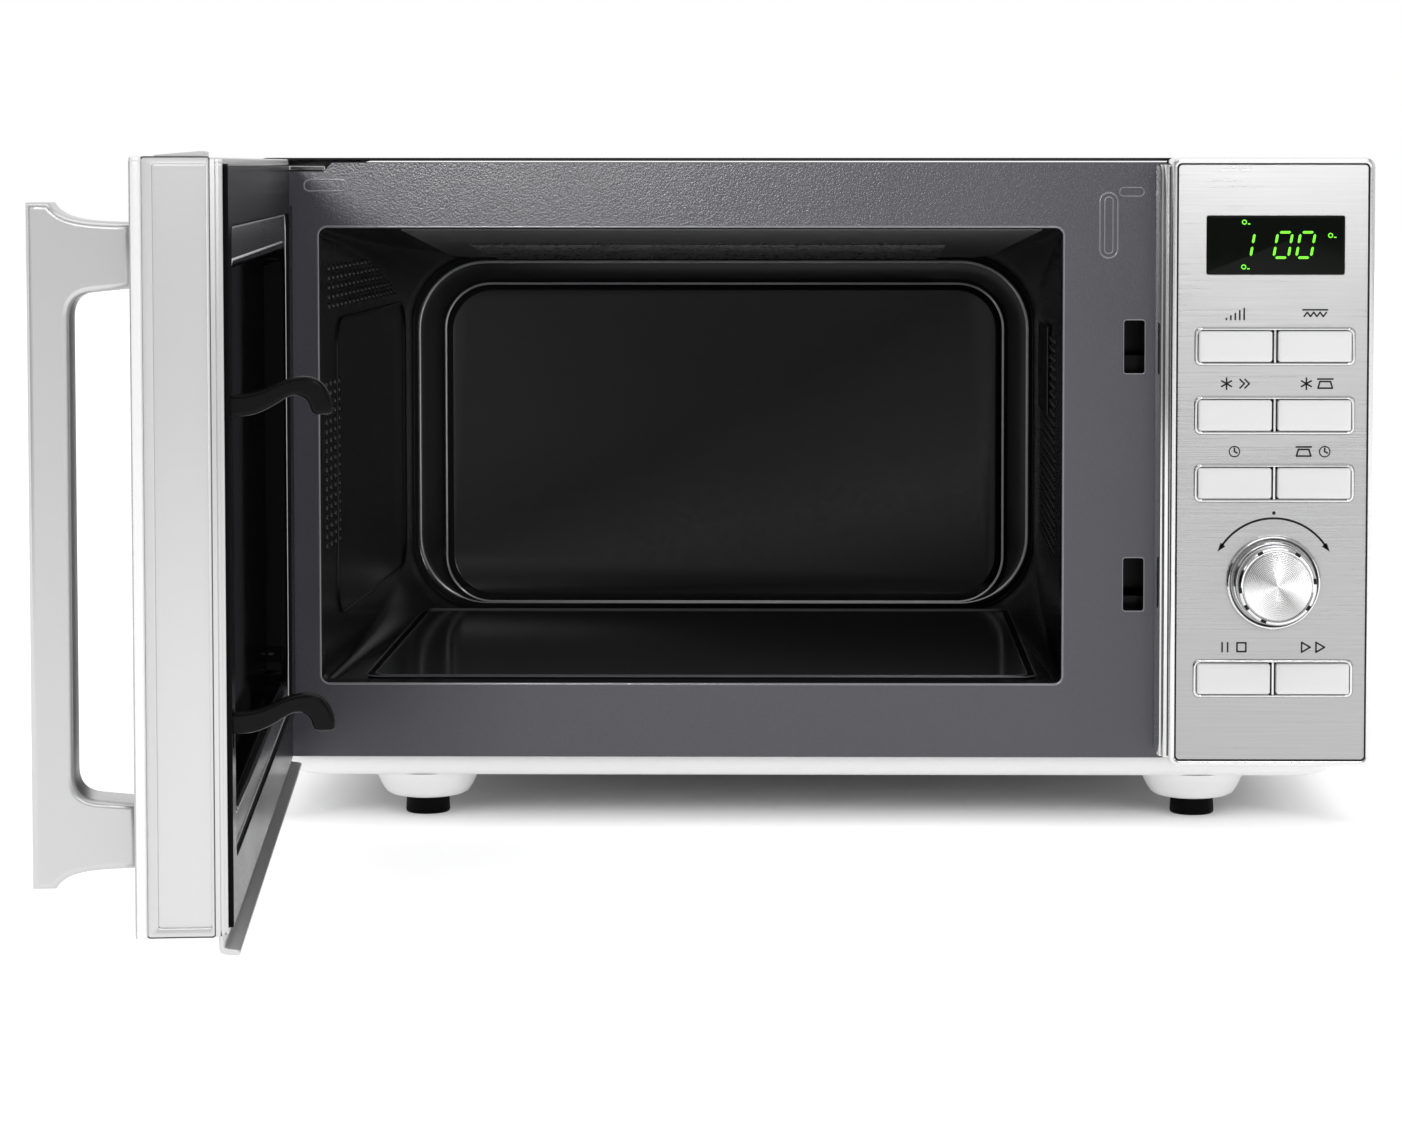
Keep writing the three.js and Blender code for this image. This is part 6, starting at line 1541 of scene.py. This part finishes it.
# %% [markdown]
# The screen frame is a thin pressed flange that falls into a well round the glass. A fine light
# rod at each bend is a painted highlight.

# %% screen frame and window
screen_outer = inset(screen_rim, -2)
pane_box = (PANE[0] - 0.5, PANE[1] + 0.5, PANE[4] - 0.5, PANE[5] + 0.5)


def screen_ring(d, y, r):
    """A ring of the screen frame, inset by d and a little less on the free side."""
    box = (screen_rim[0] + d, screen_rim[1] - d * 0.8, screen_rim[2] + d, screen_rim[3] - d)
    return upright_ring(box, r, y, 8)


FLANGE_EDGE = (12.4, -3.1, 15)
flange = [upright_ring(screen_outer, 6, -4.0, 8)] + [screen_ring(*v)
    for v in ((0, -3.2, 8), (3, -2.9, 9), (9.5, -2.9, 13), FLANGE_EDGE)]
well_rings = [screen_ring(*v) for v in (FLANGE_EDGE, (13.6, -3.35, 15.6), (14.6, -4.1, 16),
    (15.2, -5.2, 16), (15.4, -12.6, 16), (16.2, -13.4, 15))]
keep("door_screen_flange", thickened(loft(flange), 0.8), INNER_GREY, DOOR, "door", "cavity_enamel",
     ["door_screen"])
keep("door_screen_well", thickened(loft(well_rings, cap_last=True), 0.8), GLOSS_BLACK, DOOR, "door",
     "cavity_enamel")
# Painted highlight: a light rod along each bend of the screen frame.
WINDOW_LINES = (((12.4, -3.1, 15), 0.6), ((15.3, -8.5, 16), 0.35), ((0.4, -3.2, 8), 0.5))
window_lines = [closed_rod(screen_ring(*v), r) for v, r in WINDOW_LINES]
keep("door_window_lines", joined(*window_lines), WINDOW_LINE, DOOR, "door", "cavity_enamel")
pane_mesh = sheet([round_rect(*pane_box, 15, 8)], 12.2, 13.2, 0.4, UPRIGHT, 2)
keep("inner_window_fine", pane_mesh, DOOR_GLASS, DOOR, "door", "door_glass", ["inner_window"])
print("window", round(PANE[1] - PANE[0]), "x", round(PANE[5] - PANE[4]), "mm")

# %% [markdown]
# Two hooks reach through the cover from one bar in the door. A hook rises, bends over and points
# down at its nose, so its outline is four curves end to end.


# %% latch bar with its two hooks
def hook_outline(base):
    """A hook's side view, with its root at height base."""
    y = -1.2
    top = bezier((y + 2, base + 3.9), (y + 13, base + 4.2), (y + 16, base + 10.2), (y + 26, base + 10.4))
    nose = bezier((y + 26, base + 10.4), (y + 32.6, base + 10.2), (y + 35.6, base + 4.4),
                  (y + 36.0, base - 1.4), 8)
    chin = [(y + 35.6, base - 2.6), (y + 34.4, base - 3.1), (y + 30.4, base - 3.2),
            (y + 28.6, base - 2.4), (y + 28.0, base - 1.2)]
    under = bezier((y + 28.0, base - 1.2), (y + 27.2, base + 4.0), (y + 22.5, base + 4.6),
                   (y + 19.0, base + 2.4), 8)
    back = bezier((y + 19.0, base + 2.4), (y + 13, base - 1.4), (y + 9, base - 3.9), (y + 2, base - 3.9), 8)
    return [(-10, base + 3.9)] + top + nose[1:] + chin + under[1:] + back[1:] + [(-10, base - 3.9)]


hooks = [sheet([hook_outline(z)], hook_x - 2.4, hook_x + 2.4, 1.5, ACROSS, 5) for z in hook_roots]
bar_mesh = sheet([round_rect(hook_box[0], hook_box[1], hook_box[4], hook_box[5], 1, 3)], 6, 14, 0.6,
                 UPRIGHT, 2)
keep("latch_hooks", joined(bar_mesh, *hooks), BLACK_PLASTIC, DOOR, "latch", "black_plastic", ["latch_bar"])
print("hooks:", len(hooks))

# %% [markdown]
# A coil presses the latch bar up. Its lower end stays with the door and its upper end moves with
# the bar; the piece is handed both bodies and both ends, but it is only baked in place.

# %% the spring under the latch bar
SPRING = plan_box("latch_spring", DOOR)
COILS, WIRE = 6, 0.6
coil_x, coil_y = (SPRING[0] + SPRING[1]) / 2, (SPRING[2] + SPRING[3]) / 2
coil_r = (SPRING[1] - SPRING[0]) / 2 - WIRE
spring_low, spring_high = SPRING[4] + WIRE, SPRING[5] - WIRE
STEPS_ROUND = 16
helix_steps = COILS * STEPS_ROUND
helix = []
for i in range(helix_steps + 1):
    a = 2 * math.pi * i / STEPS_ROUND
    z = spring_low + (spring_high - spring_low) * i / helix_steps
    helix.append((coil_x + coil_r * math.cos(a), coil_y + coil_r * math.sin(a), z))
spring_ends = [tuple(DOOR @ Vector((coil_x, coil_y, z))) for z in (spring_low, spring_high)]
keep("latch_spring_fine", rod_along(helix, WIRE), STEEL, DOOR, ("door", "latch", *spring_ends),
     "steel_parts", ["latch_spring"])
print("spring", round(spring_high - spring_low, 1), "mm long")

# %% [markdown]
# What stays hidden keeps its own solid and gets the finish of the real thing: zinc, steel,
# varnished iron, white and black plastic.

# %% finishes for the kept pieces
KEPT = {
    ZINC: ["rear_panel", "waveguide"],
    STEEL: ["rear_screw_left", "rear_screw_right", "antenna_motor", "magnetron", "capacitor", "fan_motor",
            "rotary_encoder",
            "upper_hinge", "lower_hinge", "knob_shaft", "stirrer_antenna"],
    BLACK_PLASTIC: ["cord_inlet", "latch_receiver", "fan_blade"],
    MICA: ["mica_cover"],
    IRON: ["transformer"],
    WHITE_PLASTIC: ["oven_lamp", "fan_shroud", "door_switch_upper", "door_switch_lower"],
    DISPLAY: ["display_module"],
    CIRCUIT: ["control_board"],
}
for material, names in KEPT.items():
    for name in names:
        data = NODES[name].data
        data.materials.clear()
        data.materials.append(material)
print("kept nodes:", sum(len(v) for v in KEPT.values()), "new pieces:", len(made))

# %% sizes, and the end
visual_box = [list(v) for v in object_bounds()]
print("drawn height", round((visual_box[1][2] - visual_box[0][2]) / MM), "mm")
